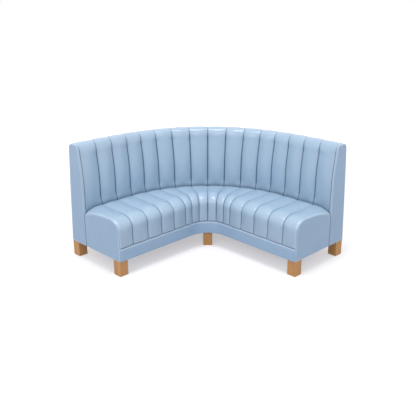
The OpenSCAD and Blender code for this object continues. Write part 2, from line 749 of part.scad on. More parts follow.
back_rib("left");  // back_rib_left_outer
back_curve_rib(inner_curve_angle);  // back_rib_left_inner
back_curve_rib(middle_curve_angle);  // back_rib_left_middle
back_curve_rib(-middle_curve_angle);  // back_rib_right_middle
back_curve_rib(-inner_curve_angle);  // back_rib_right_inner
back_rib("right");  // back_rib_right_outer
foot_oak() at_front_foot("left") foot(hanger_shift);  // foot_front_left
foot_oak() at_centre_front_foot() foot(0);  // foot_front_centre
foot_oak() at_front_foot("right") foot(hanger_shift);  // foot_front_right
foot_oak() at_rear_foot("left") foot(0);  // foot_rear_left
foot_oak() at_centre_rear_foot() foot(0);  // foot_rear_centre
foot_oak() at_rear_foot("right") foot(0);  // foot_rear_right
foot_glides();
foot_bolts();
foot_tee_nuts();
joining_bolts();
joining_washers();
joining_nuts();
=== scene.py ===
"""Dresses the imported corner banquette: fluted vinyl pads, plain covers, oak feet and a studio.

The bench's covers follow two curves in plan, the back curve and the seat front's curve. The
classes below repeat those curves in metres, and most covers are made from rings set across them.
"""

import logging
import math
from dataclasses import dataclass, field
from enum import Enum
from typing import Callable, Sequence, Union

import bmesh
import bpy
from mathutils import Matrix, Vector, noise


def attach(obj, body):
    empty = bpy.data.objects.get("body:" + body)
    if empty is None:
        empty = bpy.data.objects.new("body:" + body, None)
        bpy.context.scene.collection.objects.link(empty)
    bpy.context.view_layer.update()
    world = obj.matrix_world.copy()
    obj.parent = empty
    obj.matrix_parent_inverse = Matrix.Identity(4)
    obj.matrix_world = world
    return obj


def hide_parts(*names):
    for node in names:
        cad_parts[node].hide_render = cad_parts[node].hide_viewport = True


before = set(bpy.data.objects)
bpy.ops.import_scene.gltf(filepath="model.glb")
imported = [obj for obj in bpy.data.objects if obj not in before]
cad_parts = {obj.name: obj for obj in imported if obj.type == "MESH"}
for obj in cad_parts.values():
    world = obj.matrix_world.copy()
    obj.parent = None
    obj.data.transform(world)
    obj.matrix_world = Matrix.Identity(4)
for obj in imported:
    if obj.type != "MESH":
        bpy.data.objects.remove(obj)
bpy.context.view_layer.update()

log = logging.getLogger("banquette")

Ring = list[Vector]
Row = list[tuple[float, float, float, float, float]]
Value = Union[bpy.types.NodeSocket, float, tuple]


class Side(Enum):
    """The two arms of the bench, by the sign of X."""

    LEFT = -1
    RIGHT = 1

    @property
    def word(self) -> str:
        """The side's name in the names of pieces."""
        return self.name.lower()


# ---------------------------------------------------------------- small helpers


def lerp(a: float, b: float, share: float) -> float:
    """The value between a and b at a share of the way."""
    return a + (b - a) * share


def clamp(share: float) -> float:
    """The share, kept between 0 and 1."""
    return min(1.0, max(0.0, share))


def eased(share: float) -> float:
    """The share, starting and ending gently."""
    return share * share * (3 - 2 * share)


def quarter_fall(share: float, flat: float = 1.0) -> float:
    """How far a quarter circle of radius 1 has fallen at a share of its way."""
    return 1 - math.sqrt(max(0.0, 1 - share * share * flat))


def lifted(z: float) -> Vector:
    """The way from the floor up to height z."""
    return Vector((0.0, 0.0, z))


def mirrored(right: list[float]) -> list[float]:
    """The right half's stations with the left half's before them."""
    return [-u for u in reversed(right[1:])] + right


def arc_angles(start: float, stop: float, steps: int) -> list[float]:
    """Angles in radians from start to stop, given in degrees, in equal steps."""
    return [math.radians(lerp(start, stop, k / steps)) for k in range(steps + 1)]


# ---------------------------------------------------------------- sizes and curves


@dataclass(frozen=True)
class BenchSizes:
    """Sizes that the covers share, in metres."""

    half_turn: float = math.radians(45.0)
    arm_run: float = 0.485
    back_radius: float = 0.930
    corner_radius: float = 0.180
    seat_depth: float = 0.450
    back_depth: float = 0.200
    back_taper: float = 0.040
    leg_height: float = 0.130
    plinth_height: float = 0.106
    seat_front_height: float = 0.472
    seat_fall: float = 0.014
    total_height: float = 0.965
    lean_start: float = 0.690
    lean_blend: float = 0.070
    lean_angle: float = math.radians(8.8)
    side_channels: int = 8
    corner_channels: int = 3
    corner_channel_w: float = 0.076
    arc_channels: int = 5
    front_start: float = 0.9
    front_spread: float = 0.145
    end_strip: float = 0.017
    edge_sink: float = 0.003
    pad_t: float = 0.034
    top_pad_t: float = 0.030
    lip_t: float = 0.012
    roll_radius: float = 0.085
    back_nose_radius: float = 0.030
    nose_depth: float = 0.044
    nose_height: float = 0.082
    soft_lean_start: float = 0.625
    soft_lean_blend: float = 0.200
    back_heel_radius: float = 0.050
    soft_heel_radius: float = 0.028
    top_crown: float = 0.004
    end_crown: float = 0.017
    crown_start: float = 3.0
    crown_channels: float = 4.0
    crown_edge: float = 0.45
    crown_middle: float = 2.2
    draw_channels: float = 3.0
    roll_depth: float = 0.118
    seat_edge_sink: float = 0.006
    seat_drop_power: float = 3.5
    end_drop: float = 0.043
    end_drop_power: int = 3
    foam_corner: float = 0.003
    cover_t: float = 0.004
    panel_edge_radius: float = 0.0036
    outside_cover_t: float = 0.003
    plinth_edge_radius: float = 0.006
    back_foam_t: float = 0.016
    top_foam_t: float = 0.010
    dust_cover_t: float = 0.0015
    dust_cover_inset: float = 0.014
    plinth_rail_t: float = 0.026
    seat_build_up: float = 0.092
    seat_foam_t: float = 0.044
    lower_panel_over: float = 0.020
    foot_side: float = 0.080
    foot_end_inset: float = 0.002
    foot_front_inset: float = 0.008
    middle_foot_inset: float = 0.030
    foot_clear: float = 0.0003
    pad_gap: float = 0.0004
    unit_gap: float = 0.0005


class BenchPlan:
    """The back curve, the front curve and the outlines that are run along them."""

    def __init__(self, sizes: BenchSizes) -> None:
        """Works out the lengths, pitches and heights that the covers share.

        Args:
            sizes: The bench's sizes.
        """
        self.sizes = s = sizes
        turn = s.half_turn
        self.front_q = s.back_radius - s.seat_depth
        self.rear_q = s.back_radius + s.back_depth
        self.rear_top_q = self.rear_q - s.back_taper
        bend_q = self.front_q - s.corner_radius
        self.bend_y = bend_q / math.cos(turn)
        self.back_arc = s.back_radius * turn
        self.front_arc = s.corner_radius * turn
        self.back_path = self.back_arc + s.arm_run
        self.front_path = self.front_arc + s.arm_run + bend_q * math.tan(turn)
        self.arc_pitch = self.back_arc / s.arc_channels
        self.arm_pitch = (s.arm_run - s.end_strip) / (s.side_channels - s.arc_channels)
        self.straight_front = self.front_path - s.corner_channels * s.corner_channel_w
        self.last_seam = s.side_channels - 1
        corner_y = self.front_q * math.cos(turn) - s.arm_run * math.sin(turn)
        self.middle_y = (corner_y + self.rear_q) / 2
        self.plinth_top = s.leg_height + s.plinth_height
        self.seat_height = s.seat_front_height - s.seat_fall
        self.deck_height = s.seat_front_height - s.seat_build_up
        self.foam_top = self.deck_height + s.seat_foam_t
        self.lower_panel_height = self.deck_height + s.lower_panel_over
        self.lip_height = s.total_height - s.back_heel_radius
        self.foam_roof = s.total_height - s.top_pad_t
        self.cover_run = s.arm_run - s.cover_t
        self.front_inner = s.cover_t + s.plinth_rail_t

    def _place(self, path: float, x: float, y: float) -> Vector:
        """Turns a point of the right arm into one of the bench, by the sign of its path."""
        return Vector((math.copysign(x, path), y - self.middle_y, 0.0))

    def back_point(self, path: float, q: float) -> Vector:
        """Finds a point at floor level from the back curve.

        Args:
            path: Signed length along the front of the back, from the middle.
            q: Distance from the back arc's centre, or across an arm.

        Returns:
            The point, with a height of zero.
        """
        s, run = self.sizes, abs(path)
        turn = min(run, self.back_arc) / s.back_radius
        over = max(run - self.back_arc, 0.0)
        x = q * math.sin(turn) + over * math.cos(s.half_turn)
        y = q * math.cos(turn) - over * math.sin(s.half_turn)
        return self._place(path, x, y)

    def front_point(self, path: float, depth: float) -> Vector:
        """Finds a point at floor level from the seat front's curve.

        Args:
            path: Signed length along the seat front, from the middle.
            depth: Distance behind the seat front.

        Returns:
            The point, with a height of zero.
        """
        s, run = self.sizes, abs(path)
        turn = min(run, self.front_arc) / s.corner_radius
        over = max(run - self.front_arc, 0.0)
        r = s.corner_radius + depth
        x = r * math.sin(turn) + over * math.cos(s.half_turn)
        y = self.bend_y + r * math.cos(turn) - over * math.sin(s.half_turn)
        return self._place(path, x, y)

    def arm_q(self, side: Side, point: Vector) -> float:
        """How far across its arm a point lies, from the back arc's centre."""
        half = self.sizes.half_turn
        return side.value * point.x * math.sin(half) + (point.y + self.middle_y) * math.cos(half)

    def arm_point(self, side: Side, p: float, q: float, z: float) -> Vector:
        """Finds a point of an arm.

        Args:
            side: The arm.
            p: Length along it, from where the back curve ends.
            q: Distance across it, from the back arc's centre.
            z: Height.

        Returns:
            The point.
        """
        half = self.sizes.half_turn
        x = p * math.cos(half) + q * math.sin(half)
        y = q * math.cos(half) - p * math.sin(half)
        return Vector((side.value * x, y - self.middle_y, z))

    def arm_way(self, side: Side) -> Vector:
        """The direction in which an arm runs, away from the middle."""
        return self.arm_point(side, 1.0, 0.0, 0.0) - self.arm_point(side, 0.0, 0.0, 0.0)

    def _back_seam(self, k: float) -> float:
        """Finds a seam on the back.

        Args:
            k: The seam, counted from the middle.

        Returns:
            Its length along the back.
        """
        s = self.sizes
        if k <= s.arc_channels:
            return k * self.arc_pitch
        return self.back_arc + (k - s.arc_channels) * self.arm_pitch

    def _front_seam(self, k: float) -> float:
        """Finds a seam on the seat front.

        Args:
            k: The seam, counted from the middle.

        Returns:
            Its length along the seat front.
        """
        s = self.sizes
        if k <= s.corner_channels:
            return k * s.corner_channel_w
        share = (k - s.corner_channels) / (s.side_channels - s.corner_channels)
        past = self.straight_front * share * (s.front_start + s.front_spread * share)
        return s.corner_channels * s.corner_channel_w + past

    def _station(self, t: float, seam: Callable[[float], float], path: float) -> float:
        """Finds a station on a curve, whose last channel ends by the end cover.

        Args:
            t: Station, counted in channels from the middle.
            seam: Gives a seam's length along the curve.
            path: Length of the curve.

        Returns:
            The signed length along the curve.
        """
        s, u = self.sizes, abs(t)
        run = seam(min(u, self.last_seam))
        if u > self.last_seam:
            run = lerp(run, path - s.cover_t - s.pad_gap, u - self.last_seam)
        return math.copysign(run, t)

    def back_station(self, t: float) -> float:
        """Signed length along the back at station t, counted in channels from the middle."""
        return self._station(t, self._back_seam, self.back_path)

    def front_station(self, t: float) -> float:
        """Signed length along the seat front at station t, counted in channels."""
        return self._station(t, self._front_seam, self.front_path)

    def widths(self, t: float) -> tuple[float, float]:
        """Finds how wide a channel is.

        Args:
            t: Station, counted in channels from the middle.

        Returns:
            Its widths along the seat front and along the back.
        """
        left = min(math.floor(abs(t)), self.last_seam)
        return (self.front_station(left + 1) - self.front_station(left),
                self.back_station(left + 1) - self.back_station(left))

    def _leaned(self, z: float, start: float, blend: float) -> float:
        """Works out a lean that eases in, so that the bend shows no crease.

        Args:
            z: Height.
            start: Height at which the lean begins.
            blend: Height that it takes to reach its full slope.

        Returns:
            How far back the lean has come.
        """
        slope, over = math.tan(self.sizes.lean_angle), z - start
        if over < 0.0:
            return 0.0
        if over < blend:
            return slope * over * over / (2 * blend)
        return slope * (over - blend / 2)

    def lean(self, z: float) -> float:
        """How far the frame of the back leans at height z."""
        return self._leaned(z, self.sizes.lean_start, self.sizes.lean_blend)

    def soft_lean(self, z: float) -> float:
        """How far the padding leans at height z, which bends more slowly than the frame."""
        return self._leaned(z, self.sizes.soft_lean_start, self.sizes.soft_lean_blend)

    def outside_q(self, z: float) -> float:
        """Finds the outside of the back.

        Args:
            z: Height.

        Returns:
            Its distance from the back arc's centre.
        """
        s = self.sizes
        share = (z - s.leg_height) / (self.lip_height - s.leg_height)
        return self.rear_q - s.back_taper * share

    def drawn_in(self, path: float, t: float, reach: float, start: float) -> float:
        """Draws a seam of an arm in towards the middle, by the depth of its crease.

        Args:
            path: Signed length along the curve.
            t: Station, counted in channels from the middle.
            reach: The most that a seam is drawn in.
            start: Station that the draw begins at.

        Returns:
            The new length.
        """
        u = abs(t)
        share = clamp((u - start) / self.sizes.draw_channels)
        end = min(1.0, self.sizes.side_channels - u)
        return path - math.copysign(reach * eased(share) * end, t)

    def end_fall(self, t: float) -> float:
        """How far the seat falls at station t, near its ends, where it meets the back."""
        s = self.sizes
        return s.end_drop * max(abs(t) - self.last_seam, 0.0) ** s.end_drop_power

    def crown(self, t: float, q: float, z: float) -> float:
        """How far the padding stands up over the frame's top, more towards the ends.

        Args:
            t: Station, counted in channels from the middle.
            q: Distance across the back.
            z: Height on the frame.

        Returns:
            The rise.
        """
        s = self.sizes
        low = s.total_height - s.nose_height
        climb = clamp((z - low) / (s.total_height - low))
        front = s.back_radius + self.soft_lean(low)
        across = clamp((q - front) / (self.rear_top_q - front))
        end = clamp((abs(t) - s.crown_start) / s.crown_channels)
        rise = lerp(s.top_crown, s.end_crown, eased(end))
        return rise * climb * climb * (s.crown_edge + s.crown_middle * across * (1 - across))

    def seat_top(self, share: float, length: float, drop: float) -> tuple[float, float]:
        """Finds a point of the seat's top.

        Args:
            share: Place from the roll (0) to the back (1).
            length: Depth of the seat here.
            drop: How far the seat has fallen where it meets the back.

        Returns:
            The point's depth and height.
        """
        s = self.sizes
        depth = s.roll_depth + (length - s.roll_depth) * share
        fall = s.seat_fall * share
        return depth, s.seat_front_height - fall - drop * share**s.seat_drop_power


# ---------------------------------------------------------------- meshes


class MeshShop:
    """Makes closed pieces of the bench with mesh operators."""

    @staticmethod
    def finish(name: str, bm: bmesh.types.BMesh, smooth: bool = True) -> bpy.types.Object:
        """Turns a mesh in the making into an object at the origin.

        Args:
            name: The piece's name.
            bm: The mesh, which is freed here.
            smooth: Whether its faces are shaded smooth.

        Returns:
            The new object, linked to the scene.
        """
        bmesh.ops.recalc_face_normals(bm, faces=bm.faces)
        mesh = bpy.data.meshes.new(name)
        bm.to_mesh(mesh)
        bm.free()
        for face in mesh.polygons:
            face.use_smooth = smooth
        obj = bpy.data.objects.new(name, mesh)
        bpy.context.scene.collection.objects.link(obj)
        return obj

    @staticmethod
    def rings(name: str, rings: Sequence[Ring],
              marks: dict[str, list[list[float]]] | None = None) -> bpy.types.Object:
        """Makes a closed piece from rings of points that each close on themselves.

        Args:
            name: The piece's name.
            rings: The rings, from one end of the piece to the other.
            marks: Values kept on the points under a name, one for each ring's point.

        Returns:
            The new object.
        """
        across, around = len(rings) - 1, len(rings[0])
        bm = bmesh.new()
        bmesh.ops.create_grid(bm, x_segments=across, y_segments=around, size=0.5)
        layers = {key: bm.verts.layers.float.new(key) for key in (marks or {})}
        for vert in bm.verts:
            i = round((vert.co.x + 0.5) * across)
            j = round((vert.co.y + 0.5) * around) % around
            vert.co = rings[i][j]
            for key, layer in layers.items():
                vert[layer] = marks[key][i][j]
        bmesh.ops.remove_doubles(bm, verts=bm.verts, dist=1e-6)
        rims = [edge for edge in bm.edges if edge.is_boundary]
        caps = bmesh.ops.holes_fill(bm, edges=rims, sides=0)["faces"]
        bmesh.ops.triangulate(bm, faces=caps)
        return MeshShop.finish(name, bm)

    @staticmethod
    def soften(obj: bpy.types.Object, levels: int) -> None:
        """Adds a Subdivision Surface of some levels."""
        subsurf = obj.modifiers.new("soften", "SUBSURF")
        subsurf.levels = subsurf.render_levels = levels

    @staticmethod
    def panel(name: str, outline: Sequence[Vector], out: Vector, thickness: float,
              edge_radius: float,
              joint: Callable[[Vector], tuple[float, float]]) -> bpy.types.Object:
        """Makes a padded panel from its flat outline, with a rolled rim that carries wear and a
        painted highlight, and a faint crown.

        Args:
            name: The piece's name.
            outline: The outline's points, on the face that lies on the frame.
            out: Direction that the panel's outer face looks in.
            thickness: The panel's thickness at the rim.
            edge_radius: Radius of the rolled rim.
            joint: Gives a point's distance to the joint beside the panel, and how strongly painted
                shade darkens it.

        Returns:
            The new object.
        """
        bm = bmesh.new()
        layers = [bm.verts.layers.float.new(key) for key in ("seam_gap", "seam_depth", "wear_and_highlight")]
        base = bm.faces.new([bm.verts.new(point) for point in outline])
        base.normal_update()
        if base.normal.dot(out) < 0:
            base.normal_flip()
        grown = bmesh.ops.extrude_face_region(bm, geom=[base], use_keep_orig=True)["geom"]
        top = [item for item in grown if isinstance(item, bmesh.types.BMFace)]
        moved = [item for item in grown if isinstance(item, bmesh.types.BMVert)]
        bmesh.ops.translate(bm, verts=moved, vec=out * (thickness - edge_radius))
        crown, done = top[0], [0.0, 0.0]
        steps = [(edge_radius * (1 - math.cos(a)), edge_radius * math.sin(a))
                 for a in arc_angles(0, 90, 5)]
        steps += [(edge_radius + width, edge_radius + height)
                  for width, height in ((0.004, 0.0004), (0.011, 0.0007))]
        for width, height in steps[1:]:
            bmesh.ops.inset_region(bm, faces=[crown], thickness=width - done[0],
                                   depth=height - done[1], use_even_offset=True, use_boundary=True)
            done = [width, height]
        # The rolled rim is marked for wear and a painted highlight, less of both beside a joint
        # that painted shade darkens.
        wear_and_highlight_over, shaded = 0.0006, 0.012
        for vert in bm.verts:
            gap, depth = joint(vert.co)
            level = (vert.co - outline[0]).dot(out) - thickness
            wear_and_highlight = 1 + level / edge_radius if level < 0 else 1 - level / wear_and_highlight_over
            wear_and_highlight = max(0.0, wear_and_highlight) * (1 - depth * math.exp(-max(0.0, gap) / shaded))
            for layer, value in zip(layers, (gap, depth, wear_and_highlight)):
                vert[layer] = value
        return MeshShop.finish(name, bm)


# ---------------------------------------------------------------- finishes


def paint(code: str) -> tuple[float, float, float, float]:
    """Turns a colour as it is seen into the shader's linear colour.

    Args:
        code: The colour, written #rrggbb.

    Returns:
        Its red, green, blue and alpha.
    """
    parts = [int(code[k:k + 2], 16) / 255 for k in (1, 3, 5)]
    linear = [c / 12.92 if c <= 0.04045 else ((c + 0.055) / 1.055) ** 2.4 for c in parts]
    return (*linear, 1.0)


class NodeBench:
    """A node tree, with short calls that add and join nodes."""

    def __init__(self, tree: bpy.types.NodeTree) -> None:
        """Keeps the tree that nodes are added to."""
        self.tree = tree

    def feed(self, target: bpy.types.NodeSocket, value: Value) -> None:
        """Joins another node's output to a socket, or sets its value.

        Args:
            target: The socket.
            value: The output or the value.
        """
        if isinstance(value, bpy.types.NodeSocket):
            self.tree.links.new(value, target)
        else:
            target.default_value = value

    def node(self, kind: str, inputs: dict | None = None, **settings) -> bpy.types.Node:
        """Adds a node.

        Args:
            kind: The node's type.
            inputs: Its sockets by name or number, each with a value or another node's output.
            **settings: The node's own settings.

        Returns:
            The new node.
        """
        made = self.tree.nodes.new(kind)
        for key, value in settings.items():
            setattr(made, key, value)
        for key, value in (inputs or {}).items():
            self.feed(made.inputs[key], value)
        return made

    def math(self, operation: str, a: Value, b: Value = 0.0,
             c: Value = 0.0) -> bpy.types.NodeSocket:
        """Adds a Math node and gives its output."""
        return self.node("ShaderNodeMath", {0: a, 1: b, 2: c}, operation=operation).outputs[0]

    def blend(self, share: Value, low: Value, high: Value,
              mode: str = "MIX") -> bpy.types.NodeSocket:
        """Adds a colour Mix node.

        Args:
            share: How far the mix goes from the first colour (0) to the second (1).
            low: The first colour.
            high: The second colour.
            mode: How the second colour is laid over the first.

        Returns:
            The mixed colour.
        """
        mix = self.node("ShaderNodeMix", {0: share, 6: low, 7: high}, data_type="RGBA",
                        blend_type=mode)
        return mix.outputs[2]

    def vector(self, operation: str, inputs: dict) -> bpy.types.NodeSocket:
        """Adds a Vector Math node and gives its vector."""
        return self.node("ShaderNodeVectorMath", inputs, operation=operation).outputs[0]

    def ramp(self, value: Value, low: Value, high: Value, to_low: float = 0.0,
             to_high: float = 1.0) -> bpy.types.NodeSocket:
        """Adds a smooth Map Range node.

        Args:
            value: The value.
            low: Where the ramp starts.
            high: Where it ends, which may be below its start.
            to_low: What it gives at its start.
            to_high: What it gives at its end.

        Returns:
            The ramp's value.
        """
        made = self.node("ShaderNodeMapRange", {0: value, 1: low, 2: high, 3: to_low, 4: to_high},
                         interpolation_type="SMOOTHSTEP")
        return made.outputs[0]

    def noise(self, vector: Value, scale: float, detail: float = 2.0, rough: float = 0.5,
              distortion: float = 0.0) -> bpy.types.NodeSocket:
        """Adds a Noise Texture.

        Args:
            vector: Where the noise is looked up.
            scale: Its scale.
            detail: How many finer layers it has.
            rough: How strong they are.
            distortion: How far it is bent.

        Returns:
            The noise's value.
        """
        made = self.node("ShaderNodeTexNoise", {"Vector": vector, "Scale": scale, "Detail": detail,
                                                "Roughness": rough, "Distortion": distortion})
        return made.outputs[0]


VECTOR, FLOAT = "NodeSocketVector", "NodeSocketFloat"


class EffectGroup(NodeBench):
    """A shader node group with named inputs and outputs, shared by several finishes."""

    def __init__(self, name: str, inputs: dict[str, str], outputs: Sequence[str]) -> None:
        """Makes the empty group.

        Args:
            name: The group's name.
            inputs: Socket types by the inputs' names.
            outputs: Names of the outputs, all single values.
        """
        super().__init__(bpy.data.node_groups.new(name, "ShaderNodeTree"))
        for key, kind in inputs.items():
            self.tree.interface.new_socket(name=key, in_out="INPUT", socket_type=kind)
        for key in outputs:
            self.tree.interface.new_socket(name=key, in_out="OUTPUT", socket_type=FLOAT)
        self.given = self.node("NodeGroupInput").outputs
        self.result = self.node("NodeGroupOutput").inputs

    def give(self, name: str, socket: bpy.types.NodeSocket) -> None:
        """Joins a socket to the group's output of that name."""
        self.tree.links.new(socket, self.result[name])


def vinyl_grain_group() -> bpy.types.NodeTree:
    """Makes the grain of coated vinyl: pebbles with creases between them, mottle and scuffs.

    Returns:
        The group.
    """
    group = EffectGroup("vinyl_grain", {"Vector": VECTOR, "Pebble Scale": FLOAT},
                        ["Height", "Mottle", "Scuff"])
    at = group.given["Vector"]
    drift = group.node("ShaderNodeTexNoise", {"Vector": at, "Scale": 260.0,
                                              "Detail": 1.0}).outputs[1]
    bent = group.vector("ADD", {0: at, 1: group.vector("SCALE", {0: drift, "Scale": 0.0012})})
    cells = group.node("ShaderNodeTexVoronoi",
                       {"Vector": bent, "Scale": group.given["Pebble Scale"]},
                       feature="DISTANCE_TO_EDGE").outputs[0]
    pebble = group.ramp(cells, 0.0, 0.22)
    fine = group.noise(at, 2600.0, 1.0)
    group.give("Height", group.math("MULTIPLY_ADD", fine, 0.25, pebble))
    group.give("Mottle", group.noise(at, 9.0, 3.0, 0.55))
    scuff = group.noise(at, 46.0, 5.0, 0.7, 0.6)
    group.give("Scuff", group.ramp(scuff, 0.56, 0.74))
    return group.tree


def edge_rub_group() -> bpy.types.NodeTree:
    """Makes the rub along raised edges, broken up by noise.

    Returns:
        The group.
    """
    group = EffectGroup("edge_rub", {"Vector": VECTOR, "Low": FLOAT, "High": FLOAT}, ["Mask"])
    point = group.node("ShaderNodeNewGeometry").outputs["Pointiness"]
    edge = group.ramp(point, group.given["Low"], group.given["High"])
    broken = group.ramp(group.noise(group.given["Vector"], 55.0, 4.0, 0.65), 0.35, 0.62)
    group.give("Mask", group.math("MULTIPLY", edge, broken))
    return group.tree


def timber_grain_group() -> bpy.types.NodeTree:
    """Makes timber grain that runs along Z of the given vector: figure, fibres and pores.

    Returns:
        The group.
    """
    group = EffectGroup("timber_grain", {"Vector": VECTOR, "Ring Scale": FLOAT},
                        ["Figure", "Fibre", "Pores"])
    at = group.given["Vector"]

    def stretched(length: float) -> bpy.types.NodeSocket:
        """The vector with its length along the grain drawn out."""
        return group.vector("MULTIPLY", {0: at, 1: (1.0, 1.0, length)})

    wander = group.node("ShaderNodeTexNoise", {"Vector": stretched(0.10), "Scale": 9.0,
                                               "Detail": 2.0}).outputs[1]
    drift = group.vector("SCALE", {0: wander, 3: 0.045})
    bent = group.vector("ADD", {0: stretched(0.06), 1: drift})
    rings = group.node("ShaderNodeTexWave", {"Vector": bent, "Scale": group.given["Ring Scale"],
                                             "Distortion": 1.5, "Detail": 2.0, "Detail Scale": 1.2},
                       wave_type="BANDS", bands_direction="DIAGONAL", wave_profile="SAW").outputs[1]
    group.give("Figure", rings)
    group.give("Fibre", group.noise(stretched(0.03), 420.0, 3.0, 0.6))
    pores = group.node("ShaderNodeTexVoronoi", {"Vector": stretched(0.045), "Scale": 620.0},
                       feature="F1").outputs[0]
    group.give("Pores", group.ramp(pores, 0.34, 0.12))
    return group.tree


def seam_line_group() -> bpy.types.NodeTree:
    """Makes a sewn seam from a distance across it and a length along it.

    Returns:
        The group.
    """
    group = EffectGroup("seam_line", {"Gap": FLOAT, "Run": FLOAT, "Width": FLOAT, "Pitch": FLOAT},
                        ["Groove", "Thread", "Pucker"])
    gap, run = group.given["Gap"], group.given["Run"]
    share = group.math("DIVIDE", gap, group.given["Width"])
    group.give("Groove", group.ramp(share, 1.0, 0.15))
    beat = group.math("FRACT", group.math("DIVIDE", run, group.given["Pitch"]))
    dash = group.math("MULTIPLY", group.ramp(beat, 0.08, 0.2), group.ramp(beat, 0.86, 0.72))
    group.give("Thread", group.math("MULTIPLY", dash, group.ramp(share, 0.42, 0.2)))
    wave = group.math("SINE", group.math("MULTIPLY", beat, 2 * math.pi))
    near = group.ramp(share, 4.5, 0.6)
    group.give("Pucker", group.math("MULTIPLY", wave, near))
    return group.tree


class Effects:
    """The shader node groups, each built once."""

    def __init__(self) -> None:
        """Builds the groups."""
        self.vinyl_grain = vinyl_grain_group()
        self.edge_rub = edge_rub_group()
        self.timber_grain = timber_grain_group()
        self.seam_line = seam_line_group()


class FinishTree(NodeBench):
    """A material's node tree with its Principled BSDF."""

    def __init__(self, name: str) -> None:
        """Makes a material with its shader.

        Args:
            name: The material's name.
        """
        self.material = bpy.data.materials.new(name)
        self.material.use_nodes = True
        super().__init__(self.material.node_tree)
        self.shader = self.tree.nodes["Principled BSDF"]
        self.spot = self.node("ShaderNodeTexCoord").outputs["Object"]

    def effect(self, group: bpy.types.NodeTree, inputs: dict) -> bpy.types.NodeOutputs:
        """Places a node group and gives its outputs."""
        return self.node("ShaderNodeGroup", inputs, node_tree=group).outputs

    def mark(self, name: str) -> bpy.types.NodeSocket:
        """Adds the value that a piece's points keep under a name."""
        return self.node("ShaderNodeAttribute", attribute_name=name).outputs["Fac"]

    def bump(self, height: Value, distance: float, strength: float = 1.0,
             under: bpy.types.NodeSocket | None = None) -> bpy.types.NodeSocket:
        """Adds a Bump node.

        Args:
            height: The height.
            distance: How far the surface seems to move.
            strength: How strongly it shows.
            under: A normal that it is laid over.

        Returns:
            The normal.
        """
        made = self.node("ShaderNodeBump", {"Height": height, "Distance": distance,
                                            "Strength": strength})
        if under is not None:
            self.tree.links.new(under, made.inputs["Normal"])
        return made.outputs[0]

    def wire(self, **sockets) -> None:
        """Joins or sets the shader's sockets, named with _ for a space."""
        for key, value in sockets.items():
            self.feed(self.shader.inputs[key.replace("_", " ")], value)


@dataclass(frozen=True)
class Finish:
    """A material in the making, by its name."""

    name: str

    def material(self, effects: Effects) -> bpy.types.Material:
        """Builds the material.

        Args:
            effects: The shared node groups.

        Returns:
            The finished material.
        """
        tree = FinishTree(self.name)
        self.lay(tree, effects)
        return tree.material

    def lay(self, tree: FinishTree, effects: Effects) -> None:
        """Adds the finish's own nodes, with the shared groups, to a new tree."""
        raise NotImplementedError


@dataclass(frozen=True)
class VinylFinish(Finish):
    """Coated upholstery vinyl with a soft gloss, sewn seams where the piece has them, and painted
    shade and highlights.
    """

    colour: str
    deep: str
    # The rub colour paints wear and highlights along edges; the crease colour and the one after it
    # paint shade.
    rub: str
    thread: str
    crease: str
    painted_shade: str
    roughness: float
    coat: float
    pebble_scale: float = 780.0
    groove_width: float = 0.0057
    least_width: float = 0.0005
    stitch_pitch: float = 0.0052
    seam_shade_reach: float = 0.010
    seam_shade_share: float = 0.10

    def lay(self, tree: FinishTree, effects: Effects) -> None:
        """Adds grain, wear with painted highlights, painted shade in hollows and in the seams'
        grooves, and the seams' thread.

        Args:
            tree: The material's new tree.
            effects: The shared node groups.
        """
        grain = tree.effect(effects.vinyl_grain,
                            {"Vector": tree.spot, "Pebble Scale": self.pebble_scale})
        rub = tree.effect(effects.edge_rub, {"Vector": tree.spot, "Low": 0.515, "High": 0.60})
        shade = tree.ramp(grain["Mottle"], 0.25, 0.75, 0.0, 0.22)
        colour = tree.blend(shade, paint(self.colour), paint(self.deep))
        colour = tree.blend(tree.math("MULTIPLY", rub["Mask"], 0.3), colour, paint(self.rub))
        rough = tree.math("MULTIPLY_ADD", grain["Scuff"], 0.10, self.roughness)
        normal = tree.bump(tree.noise(tree.spot, 16.0, 2.0), 0.0016, 0.30)
        gap, depth = tree.mark("seam_gap"), tree.mark("seam_depth")
        width = tree.math("MULTIPLY_ADD", depth, self.groove_width, self.least_width)
        seam = tree.effect(effects.seam_line, {"Gap": gap, "Run": tree.mark("run"),
                                               "Width": width, "Pitch": self.stitch_pitch})
        # Painted shade, darker on the back pad towards the seat's top.
        shade = paint(self.painted_shade)
        colour = tree.blend(tree.mark("painted_shade"), colour, shade, "MULTIPLY")
        # Painted shade in a band beside each seam.
        seam_shade = tree.math("MULTIPLY", tree.ramp(gap, self.seam_shade_reach, 0.0), self.seam_shade_share)
        colour = tree.blend(tree.math("MULTIPLY", seam_shade, depth), colour, shade, "MULTIPLY")
        # Painted shade in each seam's groove and in the joints between covers.
        dark = tree.math("MULTIPLY", seam["Groove"], depth)
        colour = tree.blend(dark, colour, paint(self.crease), "MULTIPLY")
        colour = tree.blend(tree.math("MULTIPLY", seam["Thread"], 0.5), colour, paint(self.thread))
        # Wear and a painted highlight, in the rub colour, along rolled edges and the pads' ends.
        patchy = tree.ramp(tree.noise(tree.spot, 24.0, 3.0), 0.3, 0.7, 0.6, 0.95)
        wear_and_highlight = tree.math("MULTIPLY", tree.mark("wear_and_highlight"), patchy)
        colour = tree.blend(wear_and_highlight, colour, paint(self.rub))
        rough = tree.math("MULTIPLY_ADD", seam["Groove"], 0.25, rough)
        normal = tree.bump(seam["Pucker"], 0.0004, 0.5, normal)
        normal = tree.bump(grain["Height"], 0.00012, 0.35, normal)
        tree.wire(Base_Color=colour, Roughness=rough, Normal=normal, Coat_Weight=self.coat,
                  Coat_Roughness=0.18, Sheen_Weight=0.04, Sheen_Roughness=0.4, IOR=1.46)


